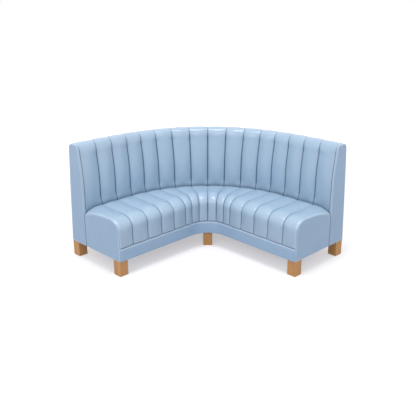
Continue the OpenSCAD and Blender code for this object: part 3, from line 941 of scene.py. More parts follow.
@dataclass(frozen=True)
class TimberFinish(Finish):
    """Timber or plywood with its grain along one axis."""

    light: str
    dark: str
    pore: str
    roughness: float
    ring_scale: float
    turn: tuple[float, float, float]

    def lay(self, tree: FinishTree, effects: Effects) -> None:
        """Adds the figure, the fibres, the pores and paler edges.

        Args:
            tree: The material's new tree.
            effects: The shared node groups.
        """
        at = tree.node("ShaderNodeMapping", {"Vector": tree.spot, "Rotation": self.turn}).outputs[0]
        grain = tree.effect(effects.timber_grain, {"Vector": at, "Ring Scale": self.ring_scale})
        rub = tree.effect(effects.edge_rub, {"Vector": tree.spot, "Low": 0.52, "High": 0.62})
        figure = tree.ramp(grain["Figure"], 0.05, 0.95, 0.0, 0.75)
        figure = tree.math("MULTIPLY_ADD", tree.ramp(grain["Fibre"], 0.3, 0.7), 0.35, figure)
        colour = tree.blend(figure, paint(self.light), paint(self.dark))
        colour = tree.blend(tree.math("MULTIPLY", grain["Pores"], 0.55), colour, paint(self.pore))
        colour = tree.blend(tree.math("MULTIPLY", rub["Mask"], 0.4), colour, paint(self.light))
        rough = tree.math("MULTIPLY_ADD", grain["Fibre"], 0.16, self.roughness)
        height = tree.math("MULTIPLY_ADD", grain["Pores"], -0.8, grain["Fibre"])
        tree.wire(Base_Color=colour, Roughness=rough, Normal=tree.bump(height, 0.0003, 0.4),
                  Coat_Weight=0.08, Coat_Roughness=0.35)


@dataclass(frozen=True)
class FoamFinish(Finish):
    """Open-cell upholstery foam."""

    colour: str
    shade: str

    def lay(self, tree: FinishTree, effects: Effects) -> None:
        """Adds cells and a little yellowing.

        Args:
            tree: The material's new tree.
            effects: The shared node groups, not used here.
        """
        cells = tree.node("ShaderNodeTexVoronoi", {"Vector": tree.spot, "Scale": 900.0}).outputs[0]
        tint = tree.noise(tree.spot, 12.0, 4.0)
        colour = tree.blend(tree.ramp(tint, 0.3, 0.7), paint(self.colour), paint(self.shade))
        colour = tree.blend(tree.ramp(cells, 0.3, 0.7, 0.25, 0.0), colour, paint(self.shade))
        tree.wire(Base_Color=colour, Roughness=tree.ramp(tint, 0.3, 0.7, 0.82, 0.95),
                  Normal=tree.bump(cells, 0.0008, 0.6), Sheen_Weight=0.2)


@dataclass(frozen=True)
class DustClothFinish(Finish):
    """Black bonded cloth under the seat, with its pressed diamond pattern."""

    colour: str
    shade: str

    def lay(self, tree: FinishTree, effects: Effects) -> None:
        """Adds the pressed diamonds and the fluff between them.

        Args:
            tree: The material's new tree.
            effects: The shared node groups, not used here.
        """
        turn = (0.0, 0.0, math.radians(45))
        turned = tree.node("ShaderNodeMapping", {"Vector": tree.spot, "Rotation": turn}).outputs[0]
        waves = [tree.node("ShaderNodeTexWave", {"Vector": turned, "Scale": 260.0},
                           bands_direction=way).outputs[1] for way in "XY"]
        press = tree.math("MINIMUM", *waves)
        fluff = tree.noise(tree.spot, 900.0, 3.0, 0.7)
        colour = tree.blend(fluff, paint(self.colour), paint(self.shade))
        height = tree.math("MULTIPLY_ADD", fluff, 0.5, press)
        tree.wire(Base_Color=colour, Roughness=tree.ramp(fluff, 0.2, 0.8, 0.8, 0.95),
                  Normal=tree.bump(height, 0.0004, 0.6), Sheen_Weight=0.3)


@dataclass(frozen=True)
class HardwareFinish(Finish):
    """Zinc-plated steel or moulded plastic."""

    colour: str
    shade: str
    metallic: float
    roughness: float

    def lay(self, tree: FinishTree, effects: Effects) -> None:
        """Adds a faint patchiness and brighter edges.

        Args:
            tree: The material's new tree.
            effects: The shared node groups.
        """
        patch = tree.noise(tree.spot, 180.0, 4.0, 0.6)
        rub = tree.effect(effects.edge_rub, {"Vector": tree.spot, "Low": 0.52, "High": 0.62})
        colour = tree.blend(patch, paint(self.colour), paint(self.shade))
        colour = tree.blend(tree.math("MULTIPLY", rub["Mask"], 0.3), colour, paint(self.colour))
        rough = tree.ramp(patch, 0.3, 0.7, self.roughness, self.roughness + 0.15)
        tree.wire(Base_Color=colour, Roughness=rough, Metallic=self.metallic,
                  Normal=tree.bump(patch, 0.00008, 0.4))


class Finishes:
    """All the bench's materials, by the record's slots."""

    def __init__(self) -> None:
        """Builds the shared effects and each material."""
        effects = Effects()
        level = (math.radians(90), 0.0, math.radians(20))
        # Painted shade: #667f9c darkens seams and joints, #a7aeb6 hollows; #c3d5e8 paints wear and
        # highlights along edges.
        blue = {"rub": "#c3d5e8", "thread": "#6f859f", "crease": "#667f9c", "painted_shade": "#a7aeb6"}
        finishes = {
            "fluted_vinyl": VinylFinish("fluted_vinyl", "#a7c0d7", "#97b0c9",
                                        roughness=0.30, coat=0.42, **blue),
            "plain_vinyl": VinylFinish("plain_vinyl", "#9ebbd9", "#8facca",
                                       roughness=0.36, coat=0.16, **blue),
            "oak": TimberFinish("oak_feet", "#d39e65", "#be854d", "#9a6637", 0.46, 26.0,
                                (0.0, 0.0, math.radians(12))),
            "plywood": TimberFinish("birch_plywood", "#e2cda3", "#c9ab78", "#b3925f",
                                    0.62, 14.0, level),
            "softwood": TimberFinish("softwood_rails", "#e6cf9f", "#cfa566", "#b98c50",
                                     0.66, 18.0, level),
            "foam": FoamFinish("seat_and_back_foam", "#efe2ae", "#dccb8c"),
            "dust_cloth": DustClothFinish("dust_cloth", "#2e3034", "#1d1e21"),
            "steel": HardwareFinish("zinc_steel", "#b9bec4", "#9a9fa6", 1.0, 0.34),
            "glide_plastic": HardwareFinish("glide_plastic", "#2b2d30", "#3b3d41", 0.0, 0.5),
        }
        self.by_slot = {slot: finish.material(effects) for slot, finish in finishes.items()}

    def dress(self, obj: bpy.types.Object, slot: str) -> None:
        """Gives a piece a slot's material in place of all that it has."""
        obj.data.materials.clear()
        obj.data.materials.append(self.by_slot[slot])


@dataclass
class SubAssembly:
    """What the bench's sub-assemblies share."""

    plan: BenchPlan
    finishes: Finishes

    @property
    def sizes(self) -> BenchSizes:
        """The bench's sizes."""
        return self.plan.sizes

    def fit(self, obj: bpy.types.Object, slot: str, node: str) -> bpy.types.Object:
        """Puts a new piece in a node's place, with its finish.

        Args:
            obj: The piece.
            slot: The record's slot of its finish.
            node: The node that it stands for.

        Returns:
            The piece.
        """
        self.finishes.dress(obj, slot)
        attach(obj, "root")
        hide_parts(node)
        log.info("%s stands for %s, %d faces", obj.name, node, len(obj.data.polygons))
        return obj

    def cover_end(self, unit: str, side: Side, outline: Ring,
                  joint: Callable[[Vector], tuple[float, float]]) -> None:
        """Makes the plain cover on one end of a unit.

        Args:
            unit: The unit's name in the names of pieces.
            side: The arm.
            outline: The cover's outline on the frame's end face.
            joint: Gives a point's distance to the other unit's cover, and how strongly painted
                shade darkens that joint.
        """
        s = self.sizes
        obj = MeshShop.panel(f"{unit}_end_panel_{side.word}", outline, self.plan.arm_way(side),
                             s.cover_t, s.panel_edge_radius, joint)
        self.fit(obj, "plain_vinyl", f"{unit}_end_cover_{side.word}")


# ---------------------------------------------------------------- the fluted pads


@dataclass(frozen=True)
class FluteShape:
    """How a channel's crown falls to its seams, in metres."""

    body: float
    crease: float
    end_body: float
    end_crease: float
    end_roll: float
    end_drop: float
    strip: float
    # Share of the seams' depth mark, which sets how strongly painted shade darkens them.
    seam: float
    power: float = 2.0
    crease_width: float = 0.0034
    end_crease_width: float = 0.0024
    strip_fade: float = 0.004
    wander: float = 0.0008
    wander_rate: float = 7.0
    pucker: float = 0.0006
    pucker_start: float = 0.004
    pucker_reach: float = 0.020
    pucker_rates: tuple[float, float, float] = (55.0, 3.7, 2.0)
    calm: float = 0.15
    shares: tuple[float, ...] = (0.0, 0.01, 0.025, 0.045, 0.075, 0.12, 0.18, 0.26, 0.35, 0.45,
                                 0.55, 0.65, 0.74, 0.82, 0.88, 0.925, 0.955, 0.975, 0.99)
    last_shares: tuple[float, ...] = (0.0, 0.01, 0.025, 0.045, 0.075, 0.12, 0.18, 0.26, 0.35, 0.45,
                                      0.55, 0.65, 0.74, 0.81, 0.86, 0.885, 0.902, 0.912, 0.919,
                                      0.926, 0.934, 0.944, 0.956, 0.968, 0.980, 0.990, 0.998, 1.0)

    def stations(self, channels: int) -> list[float]:
        """Places the pad's rings, closer together near the seams.

        Args:
            channels: Channels on each side.

        Returns:
            The rings' stations, counted in channels from the middle.
        """
        right = [c + s for c in range(channels - 1) for s in self.shares]
        right += [channels - 1 + s for s in self.last_shares]
        return mirrored(right)

    def sink(self, t: float, width: float, channels: int, spot: Vector, run: float,
             hold: float) -> tuple[float, float]:
        """How deep the surface lies under the crown.

        Args:
            t: Station, counted in channels from the middle.
            width: Width of the channel here.
            channels: Channels on each side.
            spot: The point's rough place, which steers its wander.
            run: Length along the channel.
            hold: Share of the seam's depth here.

        Returns:
            The depth, and the distance to the nearest seam.
        """
        u = abs(t)
        share = u - math.floor(u)
        to_end = (channels - u) * width
        if u < channels - 1 or share < 0.5 and u < channels:
            gap = min(share, 1 - share) * width
            deep = self.body * abs(2 * share - 1) ** self.power
            deep += self.crease * math.exp(-(gap / self.crease_width) ** 2)
        else:
            gap = abs(to_end - self.strip)
            near = clamp(1 - (to_end - self.strip) / (width / 2))
            fall = math.exp(-max(0.0, self.strip - to_end) / self.strip_fade)
            deep = self.end_body * near**self.power * fall
            deep += self.end_crease * math.exp(-(gap / self.end_crease_width) ** 2)
            deep += self.end_drop / max(hold, 0.1) * max(0.0, 1 - to_end / self.end_roll) ** 2
        puckers = math.exp(-gap / self.pucker_reach)
        puckers *= 1 - math.exp(-(gap / self.pucker_start) ** 2)
        along, next_seam, across = self.pucker_rates
        ripple = noise.noise(Vector((run * along, round(t) * next_seam, share * across)))
        level = self.wander * noise.noise(spot * self.wander_rate) + self.pucker * puckers * ripple
        return deep * hold + level * lerp(self.calm, 1.0, min(1.0, hold)), gap


@dataclass
class PadRing:
    """One ring of a pad, with what its vinyl needs to know at each point."""

    points: Ring = field(default_factory=list)
    marks: dict[str, list[float]] = field(default_factory=dict)

    def add(self, point: Vector, gap: float = 0.05, run: float = 0.0, depth: float = 0.0,
            painted_shade: float = 0.0, wear_and_highlight: float = 0.0, sewn: float = 1.0) -> None:
        """Adds a point.

        Args:
            point: The point.
            gap: Its distance to the nearest seam.
            run: Length along the ring.
            depth: How deep the seam is and how strongly painted shade darkens it, up to 1.
            painted_shade: How strongly painted shade darkens the point, up to 1.
            wear_and_highlight: How far wear and a painted highlight make the point paler, on an
                edge, up to 1.
            sewn: Whether thread or staples hold the point (1) or the padding may swell there (0).
        """
        self.points.append(point)
        for key, value in (("seam_gap", gap), ("run", run), ("seam_depth", depth),
                           ("painted_shade", painted_shade), ("wear_and_highlight", wear_and_highlight), ("sewn", sewn)):
            self.marks.setdefault(key, []).append(value)

    @staticmethod
    def join(name: str, rings: Sequence["PadRing"]) -> bpy.types.Object:
        """Makes a closed piece from such rings, with their marks.

        Args:
            name: The piece's name.
            rings: The rings, from one end of the piece to the other.

        Returns:
            The new object.
        """
        marks = {key: [ring.marks[key] for ring in rings] for key in rings[0].marks}
        return MeshShop.rings(name, [ring.points for ring in rings], marks)


@dataclass(frozen=True)
class Filling:
    """Swells a sewn pad with a cloth simulation, as its filling does."""

    pressure: float = 9.0
    frames: int = 20
    most: float = 0.006

    def swell(self, obj: bpy.types.Object) -> None:
        """Blows the pad up between its seams and keeps the result in its mesh.

        Args:
            obj: The pad's object, whose points marked as sewn stay where they are.
        """
        mesh, scene = obj.data, bpy.context.scene
        sewn = mesh.attributes["sewn"].data
        fast = [vert.index for vert in mesh.vertices if sewn[vert.index].value > 0.5]
        held = obj.vertex_groups.new(name="sewn_points")
        held.add(fast, 1.0, "REPLACE")
        cloth = obj.modifiers.new("filling", "CLOTH")
        cloth.settings.vertex_group_mass = held.name
        cloth.settings.use_pressure = True
        cloth.settings.uniform_pressure_force = self.pressure
        cloth.settings.effector_weights.gravity = 0.0
        cloth.point_cache.frame_start, cloth.point_cache.frame_end = 1, self.frames
        for count in range(1, self.frames + 1):
            scene.frame_set(count)
        grown = obj.evaluated_get(bpy.context.evaluated_depsgraph_get()).data
        for vert, end in zip(mesh.vertices, grown.vertices):
            move = end.co - vert.co
            vert.co += move * min(1.0, self.most / max(move.length, 1e-9))
        obj.modifiers.remove(cloth)
        obj.vertex_groups.clear()
        scene.frame_set(1)
        log.info("%s swelled between its seams", obj.name)
        mesh.attributes.remove(mesh.attributes["sewn"])


@dataclass(frozen=True)
class FlutedPad:
    """A fluted pad: rings of an outer, fluted row and a plain inner row."""

    name: str
    flutes: FluteShape
    channels: int
    ring: Callable[[float], PadRing]

    def build(self) -> bpy.types.Object:
        """Sews the pad from its rings and swells it.

        Returns:
            The pad's object.
        """
        rings = [self.ring(t) for t in self.flutes.stations(self.channels)]
        obj = PadRing.join(self.name, rings)
        Filling().swell(obj)
        MeshShop.soften(obj, 1)
        return obj


@dataclass
class SeatUnit(SubAssembly):
    """The seat unit: fluted pad, foam, plinth cover, end covers and dust cloth."""

    flutes: FluteShape = FluteShape(body=0.0105, crease=0.0030, end_body=0.0, end_crease=0.0,
                                    end_roll=0.024, end_drop=0.007, strip=0.0, seam=0.65)
    sewn_reach: float = 0.003
    held_end: float = 0.006
    held_rear: float = 0.024
    held_foot: float = 0.012
    seam_draw: float = 0.0105
    # Shares of the painted shade on the seams at the rear, at the front and along the pad's foot.
    rear_seam: float = 0.3
    front_seam: float = 1.35
    foot_seam: float = 1.0
    rear_hold: float = 0.45
    foot_hold: float = 0.35
    foot_hold_height: float = 0.09
    rear_stops: tuple[float, ...] = (0.0, 0.0015, 0.004, 0.008, 0.014, 0.022, 0.035)
    face_heights: tuple[float, ...] = (0.372, 0.354, 0.336, 0.318, 0.300, 0.284, 0.270, 0.260,
                                       0.253, 0.248, 0.244, 0.241, 0.2385)
    rear_round: float = 0.012
    tuck_height: float = 0.010
    tuck_depth: float = 0.006
    wear_and_highlight_from_end: float = 0.005
    wear_and_highlight_width: float = 0.006
    wear_and_highlight_share: float = 0.8
    foam_station: float = 7.5
    foam_rings: int = 96
    plinth_crown: float = 0.0010
    plinth_wander: float = 0.0006
    cloth_sag: float = 0.0005
    cloth_wander: float = 0.0008

    def outer_row(self, length: float, low: float) -> Row:
        """The pad's outside, from the crease at the back to the plinth.

        Args:
            length: Depth of the seat here.
            low: Height of the pad's foot.

        Returns:
            For each point its depth, height, outward shares (forward and up) and seam share.
        """
        s = self.sizes
        roll_z = s.seat_front_height - s.roll_radius
        row = [(length - back, 0.0, 0.0, 1.0, self.rear_hold) for back in self.rear_stops]
        for k in range(1, 11):
            row.append((lerp(length - self.rear_stops[-1], s.roll_depth, k / 10), 0.0, 0.0, 1.0,
                        lerp(self.rear_hold, 1.0, min(1.0, k / 6))))
        for a in arc_angles(90, 0, 12)[1:]:
            row.append((s.roll_depth * (1 - math.cos(a)), roll_z + s.roll_radius * math.sin(a),
                        math.cos(a), math.sin(a), 1.0))
        for z in (*self.face_heights, low):
            share = min(1.0, (z - low) / self.foot_hold_height)
            row.append((0.0, z, 1.0, 0.0, lerp(self.foot_hold, 1.0, share)))
        return row

    def pad_ring(self, t: float) -> PadRing:
        """Makes one ring of the seat pad.

        Args:
            t: Station, counted in channels from the middle.

        Returns:
            The ring.
        """
        plan, s = self.plan, self.sizes
        start = plan.front_point(plan.drawn_in(plan.front_station(t), t, self.seam_draw, 0.0), 0.0)
        end = plan.back_point(plan.drawn_in(plan.back_station(t), t, *BackUnit.draw),
                              s.back_radius - s.unit_gap)
        length = (end - start).length
        way = (end - start) / length
        drop = plan.end_fall(t)
        low = plan.plinth_top + s.pad_gap
        front_w, rear_w = plan.widths(t)
        ring, run, last = PadRing(), 0.0, None
        for depth, z, out, up, hold in self.outer_row(length, low):
            on_top = up == 1.0 and out == 0.0
            if on_top:
                share = (depth - s.roll_depth) / (length - s.roll_depth)
                z = plan.seat_top(share, length, drop)[1]
            run += 0.0 if last is None else math.hypot(depth - last[0], z - last[1])
            last = (depth, z)
            width = lerp(front_w, rear_w, clamp(depth / length))
            spot = start + way * depth + lifted(z)
            deep, gap = self.flutes.sink(t, width, s.side_channels, spot, run, hold)
            depth += deep * out
            z -= deep * up
            if on_top:
                over = max(0.0, 1 - (length - depth) / self.rear_round)
                z -= self.rear_round * quarter_fall(over)
            if out == 1.0 and z < low + self.tuck_height:
                over = 1 - (z - low) / self.tuck_height
                depth += self.tuck_depth * quarter_fall(over, 0.98)
            # How strongly painted shade darkens the seam here; along the pad's foot it paints a
            # dark line of shade above the plinth.
            seam = lerp(1.0, self.rear_seam, share) if on_top else lerp(1.0, self.front_seam, out)
            seam *= self.flutes.seam
            if out == 1.0 and (z - low) * 0.5 < gap:
                gap, seam = (z - low) * 0.5, self.foot_seam
            # Wear and a painted highlight along the pad's ends.
            to_end = (s.side_channels - abs(t)) * width
            wear_and_highlight = math.exp(-((to_end - self.wear_and_highlight_from_end) / self.wear_and_highlight_width) ** 2)
            wear_and_highlight *= self.wear_and_highlight_share * lerp(0.4, 1.0, max(hold, out))
            free = gap > self.sewn_reach and to_end > self.held_end
            free = free and length - depth > self.held_rear and z > low + self.held_foot
            ring.add(start + way * depth + lifted(z), gap, run, seam, wear_and_highlight=wear_and_highlight,
                     sewn=0.0 if free else 1.0)
        under = (plan.deck_height if abs(t) > s.side_channels - 0.4 else plan.foam_top) + s.pad_gap
        inner = plan.front_inner - s.pad_gap
        for depth, z in ((inner, low), (inner, lerp(low, under, 0.5)), (inner, under),
                         (s.roll_radius, under), (lerp(s.roll_radius, length, 0.5), under),
                         (length, under)):
            ring.add(start + way * depth + lifted(z))
        return ring

    def foam_ring(self, share: float, stop: float) -> Ring:
        """Makes one ring of the seat's foam slab, with softened corners.

        Args:
            share: Place along the seat, from -1 at the left end of the slab to 1 at its right end.
            stop: Where the slab ends on an arm.

        Returns:
            The ring's points.
        """
        plan, s = self.plan, self.sizes
        start = plan.front_point((plan.front_path - s.arm_run + stop) * share, 0.0)
        end = plan.back_point((plan.back_arc + stop) * share, s.back_radius - s.unit_gap)
        length = (end - start).length
        way = (end - start) / length
        soft, low, high, near = s.foam_corner, plan.deck_height, plan.foam_top, plan.front_inner
        middle = lerp(near, length, 0.5)
        points = [(near, low), (near, high - soft), (near + soft, high), (middle, high),
                  (length - soft, high), (length, high - soft), (length, low), (middle, low)]
        return [start + way * depth + lifted(z) for depth, z in points]

    def plinth_ring(self, path: float) -> PadRing:
        """Makes one ring of the plinth cover: a padded band with a rounded top edge, marked for
        wear and a painted highlight.

        Args:
            path: Signed length along the seat front.

        Returns:
            The ring.
        """
        plan, s = self.plan, self.sizes
        low, high, r = s.leg_height, plan.plinth_top, s.plinth_edge_radius
        face = [(0.0022, low), (0.0007, low + 0.0012), (0.0, low + 0.004)]
        rows = 8
        for k in range(1, rows):
            z = lerp(low + 0.004, high - r, k / rows)
            swell = self.plinth_crown * math.sin(math.pi * k / rows)
            wander = self.plinth_wander * noise.noise(Vector((path * 6.0, z * 9.0, 2.5)))
            face.append((-swell + wander, z))
        face += [(r * (1 - math.cos(a)), high - r + r * math.sin(a)) for a in arc_angles(0, 90, 6)]
        face += [(0.012, high), (0.020, high), (plan.front_inner, high),
                 (plan.front_inner, high - r), (s.cover_t, high - r), (s.cover_t, low)]
        ring = PadRing()
        for depth, z in face:
            # Wear and a painted highlight along the top edge.
            wear_and_highlight = 1.0 if z > high - r * 1.9 and depth < r * 1.1 else 0.0
            ring.add(plan.front_point(path, depth) + lifted(z), wear_and_highlight=wear_and_highlight)
        return ring

    def end_outline(self, side: Side) -> Ring:
        """Draws the outline of the seat unit's end cover, on the frame's end face.

        Args:
            side: The arm.

        Returns:
            The outline's points.
        """
        plan, s = self.plan, self.sizes
        sink = s.seat_edge_sink
        top_z = s.seat_front_height - s.roll_radius
        rows = [(0.0, s.leg_height), (0.0, plan.plinth_top - 0.004),
                (sink * 0.6, plan.plinth_top + 0.006), (sink, plan.plinth_top + 0.020)]
        rows += [(s.roll_depth - (s.roll_depth - sink) * math.cos(a),
                  top_z + (s.roll_radius - sink) * math.sin(a)) for a in arc_angles(0, 90, 16)]
        length = s.seat_depth - s.unit_gap
        for k in range(1, 15):
            depth, z = plan.seat_top(k / 14, length, s.end_drop)
            rows.append((depth, z - sink))
        rows.append((length, s.leg_height))
        return [plan.arm_point(side, plan.cover_run, plan.front_q + d, z) for d, z in rows]

    def build_pad(self) -> None:
        """Makes the fluted seat pad."""
        pad = FlutedPad("seat_fluted_pad", self.flutes, self.sizes.side_channels, self.pad_ring)
        obj = self.fit(pad.build(), "fluted_vinyl", "seat_pad")

    def build_foam(self) -> None:
        """Makes the foam slab that the deck carries."""
        plan, s, count = self.plan, self.sizes, self.foam_rings
        rear = plan.back_station(self.foam_station) - plan.back_arc
        front = plan.front_station(self.foam_station) - plan.front_path + s.arm_run
        stop = min(rear, front) - s.cover_t
        rings = [self.foam_ring(lerp(-1.0, 1.0, k / count), stop) for k in range(count + 1)]
        obj = self.fit(MeshShop.rings("seat_foam_slab", rings), "foam", "seat_foam")

    def build_plinth(self) -> None:
        """Makes the plain band under the seat front."""
        plan = self.plan
        straight = plan.front_path - self.sizes.cover_t
        stops = [plan.front_arc * k / 16 for k in range(17)]
        stops += [lerp(plan.front_arc, straight, k / 30) for k in range(1, 31)]
        obj = PadRing.join("plinth_band", [self.plinth_ring(p) for p in mirrored(stops)])
        self.fit(obj, "plain_vinyl", "plinth_cover")

    def build_end(self, side: Side) -> None:
        """Makes the plain cover on one end of the seat unit.

        Args:
            side: The arm.
        """

        def joint(point: Vector) -> tuple[float, float]:
            """The joint with the back unit."""
            return self.sizes.back_radius - self.plan.arm_q(side, point), 1.0

        self.cover_end("seat", side, self.end_outline(side), joint)

    def foot_places(self) -> list[tuple[Vector, Vector]]:
        """Finds the feet under the seat unit.

        Returns:
            Each foot's middle and the direction of one of its sides.
        """
        plan, s = self.plan, self.sizes
        middle = plan.front_q + s.foot_front_inset + s.foot_side / 2
        run = s.arm_run - s.foot_end_inset - s.foot_side / 2
        feet = [(plan.arm_point(side, run, middle, 0.0), plan.arm_way(side)) for side in Side]
        front_y = plan.bend_y + s.corner_radius - plan.middle_y
        centre = Vector((0.0, front_y + s.middle_foot_inset + s.foot_side / 2, 0.0))
        return [*feet, (centre, Vector((1.0, 0.0, 0.0)))]

    def build_dust_cloth(self) -> None:
        """Makes the black cloth stapled under the seat unit, open at the feet."""
        plan, s = self.plan, self.sizes
        bm = bmesh.new()
        across, deep = 88, 14
        bmesh.ops.create_grid(bm, x_segments=across, y_segments=deep, size=0.5)
        back = plan.back_arc + s.arm_run - s.cover_t - s.dust_cover_inset
        front = plan.front_path - s.cover_t - s.dust_cover_inset
        for vert in bm.verts:
            t, share = vert.co.x * 2, vert.co.y + 0.5
            start = plan.front_point(front * t, s.dust_cover_inset)
            end = plan.back_point(back * t, s.back_radius - s.unit_gap)
            vert.co = start.lerp(end, share) + lifted(s.leg_height - s.dust_cover_t / 2)
        half = s.foot_side / 2 + s.foot_clear
        for spot, along in self.foot_places():
            square = Vector((-along.y, along.x, 0.0))
            for normal in (along, -along, square, -square):
                near = [f for f in bm.faces if (f.calc_center_median() - spot).xy.length < 3 * half]
                parts = {v for f in near for v in f.verts} | {e for f in near for e in f.edges}
                bmesh.ops.bisect_plane(bm, geom=[*near, *parts], plane_co=spot + normal * half,
                                       plane_no=normal)
            inside = [f for f in bm.faces if all(
                abs((f.calc_center_median() - spot).dot(d)) < half for d in (along, square))]
            bmesh.ops.delete(bm, geom=inside, context="FACES")
        area = sum(face.calc_area() for face in bm.faces)
        for vert in bm.verts:
            if not vert.is_boundary:
                vert.co.z -= self.cloth_sag + self.cloth_wander * noise.noise(vert.co * 6.0)
        obj = MeshShop.finish("dust_cloth", bm)
        wall = obj.modifiers.new("cloth_thickness", "SOLIDIFY")
        wall.thickness, wall.offset = s.dust_cover_t - self.cloth_sag, 0.0
        self.fit(obj, "dust_cloth", "seat_dust_cover")

    def build(self) -> None:
        """Makes every cover of the seat unit."""
        self.build_pad()
        self.build_foam()
        self.build_plinth()
        self.build_dust_cloth()
        for side in Side:
            self.build_end(side)


@dataclass
class BackUnit(SubAssembly):
    """The back unit: fluted pad, foam, outside cover and end covers."""

    flutes: FluteShape = FluteShape(body=0.0200, crease=0.0045, end_body=0.0040,
                                    end_crease=0.0026, end_roll=0.010, end_drop=0.003,
                                    strip=0.0125, seam=1.0)
    sewn_reach: float = 0.003
    held_end: float = 0.004
    held_foot: float = 0.010
    press_start: float = 0.004
    press_height: float = 0.050
    pressed_hold: float = 0.08
    top_hold: float = 0.15
    fan: float = 0.014
    fan_start: float = 0.56
    fan_power: float = 1.5
    draw: tuple[float, float] = (0.0125, 2.0)
    puff_reach: float = 0.060
    puff_power: float = 0.7
    painted_shade_reaches: tuple[tuple[float, float], ...] = ((0.45, 0.012), (0.55, 0.085))
    wear_and_highlight_from_end: float = 0.006
    wear_and_highlight_width: float = 0.006
    wear_and_highlight_share: float = 0.8
    run_start: float = 3.0
    lip_rows: tuple[float, ...] = (0.005, 0.0014, 0.0)
    lip_turn: tuple[float, ...] = (0.0014, 0.005)
    end_heights: tuple[float, ...] = (0.55, 0.61, 0.64, 0.67, 0.70, 0.73, 0.76, 0.79, 0.82,
                                      0.86, 0.90)
    hem: float = 0.0012
    outside_wander: tuple[float, float] = (0.0011, 0.0004)

    def outer_row(self, puff: float) -> Row:
        """The pad's outside, from its foot behind the seat to the lip on the outside.

        Args:
            puff: How far the nose rolls: as in mid-channel (1), or as the end cover does (0).

        Returns:
            For each point its distance q, height, inward shares (back and up) and seam share.
        """
        plan, s = self.plan, self.sizes
        bottom = plan.lower_panel_height + s.pad_gap
        deep = lerp(s.back_nose_radius, s.nose_depth, puff)
        high = lerp(s.back_nose_radius, s.nose_height, puff)
        nose_z = s.total_height - high
        nose_q = s.back_radius + plan.soft_lean(s.total_height - s.back_nose_radius) + deep
        low_q = s.back_radius + plan.soft_lean(nose_z)
        heel_q = plan.rear_top_q - s.soft_heel_radius
        row = []
        for k in range(25):
            z = lerp(bottom, nose_z, k / 24)
            row.append((s.back_radius + plan.soft_lean(z), z, 1.0, 0.0, 1.0))
        for a in arc_angles(0, 90, 12)[1:]:
            row.append((lerp(nose_q, low_q, math.cos(a)), nose_z + high * math.sin(a), math.cos(a),
                        math.sin(a), lerp(1.0, self.top_hold, math.degrees(a) / 90)))
        for k in range(1, 5):
            row.append((lerp(nose_q, heel_q, k / 5), s.total_height, 0.0, 1.0, self.top_hold))
        for a in arc_angles(90, 0, 9):
            r = s.soft_heel_radius
            row.append((heel_q + r * math.cos(a), s.total_height - r + r * math.sin(a),
                        -math.cos(a) * math.sin(a), math.sin(a) ** 2, self.top_hold))
        return row + [(plan.rear_top_q, plan.lip_height + over, 0.0, 0.0, self.top_hold)
                      for over in self.lip_rows]

    def pad_ring(self, t: float) -> PadRing:
        """Makes one ring of the back pad.

        Args:
            t: Station, counted in channels from the middle.

        Returns:
            The ring.
        """
        plan, s = self.plan, self.sizes
        path, width = plan.drawn_in(plan.back_station(t), t, *self.draw), plan.widths(t)[1]
        seat_z = plan.seat_height - plan.end_fall(t)
        spread = self.fan * math.sin(math.pi * min(abs(t) / s.arc_channels, 1.0))
        ring, run, last = PadRing(), 0.0, None
        to_end = (s.side_channels - abs(t)) * width
        # Wear and a painted highlight along the pad's ends.
        wear_and_highlight = math.exp(-((to_end - self.wear_and_highlight_from_end) / self.wear_and_highlight_width) ** 2)
        wear_and_highlight *= self.wear_and_highlight_share
        puff = min(1.0, to_end / self.puff_reach) ** self.puff_power
        for q, z, out, up, hold in self.outer_row(puff):
            run += 0.0 if last is None else math.hypot(q - last[0], z - last[1])
            last = (q, z)
            rise = max(0.0, (z - self.fan_start) / (s.total_height - self.fan_start))
            here = path + math.copysign(spread * rise**self.fan_power, t)
            spot = plan.back_point(here, q) + lifted(z)
            over_seat = max(0.0, z - seat_z)
            press = clamp((over_seat - self.press_start) / self.press_height)
            hold *= lerp(self.pressed_hold, 1.0, eased(press))
            deep, gap = self.flutes.sink(t, width, s.side_channels, spot, run + self.run_start,
                                         hold)
            # Painted shade on the back pad, darker towards the seat's top.
            painted_shade = sum(share * math.exp(-over_seat / reach)
                         for share, reach in self.painted_shade_reaches)
            up_z = z - deep * up + plan.crown(t, q, z)
            free = gap > self.sewn_reach and to_end > self.held_end
            free = free and (out > 0.0 or up > 0.2) and over_seat > self.held_foot
            # How strongly painted shade darkens the seam, less over the top.
            seam = self.flutes.seam * (1.0 if out == 1.0 else 0.5 + 0.5 * hold)
            ring.add(plan.back_point(here, q + deep * out) + lifted(up_z), gap, run, seam,
                     painted_shade if out == 1.0 else 0.0, wear_and_highlight, 0.0 if free else 1.0)
        bottom, inner = plan.lower_panel_height + s.pad_gap, s.pad_t - s.pad_gap
        roof, lip_q = plan.foam_roof + s.pad_gap, plan.rear_top_q - s.lip_t + s.pad_gap
        top_q = s.back_radius + plan.lean(roof) + inner
        inside = [(plan.rear_top_q - turn, plan.lip_height) for turn in self.lip_turn]
        inside += [(lip_q, plan.lip_height), (lip_q, roof), (lerp(lip_q, top_q, 0.5), roof),
                   (top_q, roof)]
        leaned = s.lean_start + s.lean_blend
        for z in (lerp(roof, leaned, 0.5), leaned, s.lean_start, lerp(s.lean_start, bottom, 0.5),
                  bottom):
            inside.append((s.back_radius + plan.lean(z) + inner, z))
        for q, z in inside:
            ring.add(plan.back_point(path, q) + lifted(z))
        return ring

    def foam_ring(self, path: float) -> Ring:
        """Makes one ring of the back's foam: the front layer and its turn over the top rail.

        Args:
            path: Signed length along the back curve.

        Returns:
            The ring's points.
        """
        plan, s = self.plan, self.sizes
        low, roof, soft = plan.lower_panel_height, plan.foam_roof, s.foam_corner
        shelf = roof - s.top_foam_t
        top_q = plan.outside_q(shelf) - s.lip_t
        far = s.pad_t + s.back_foam_t

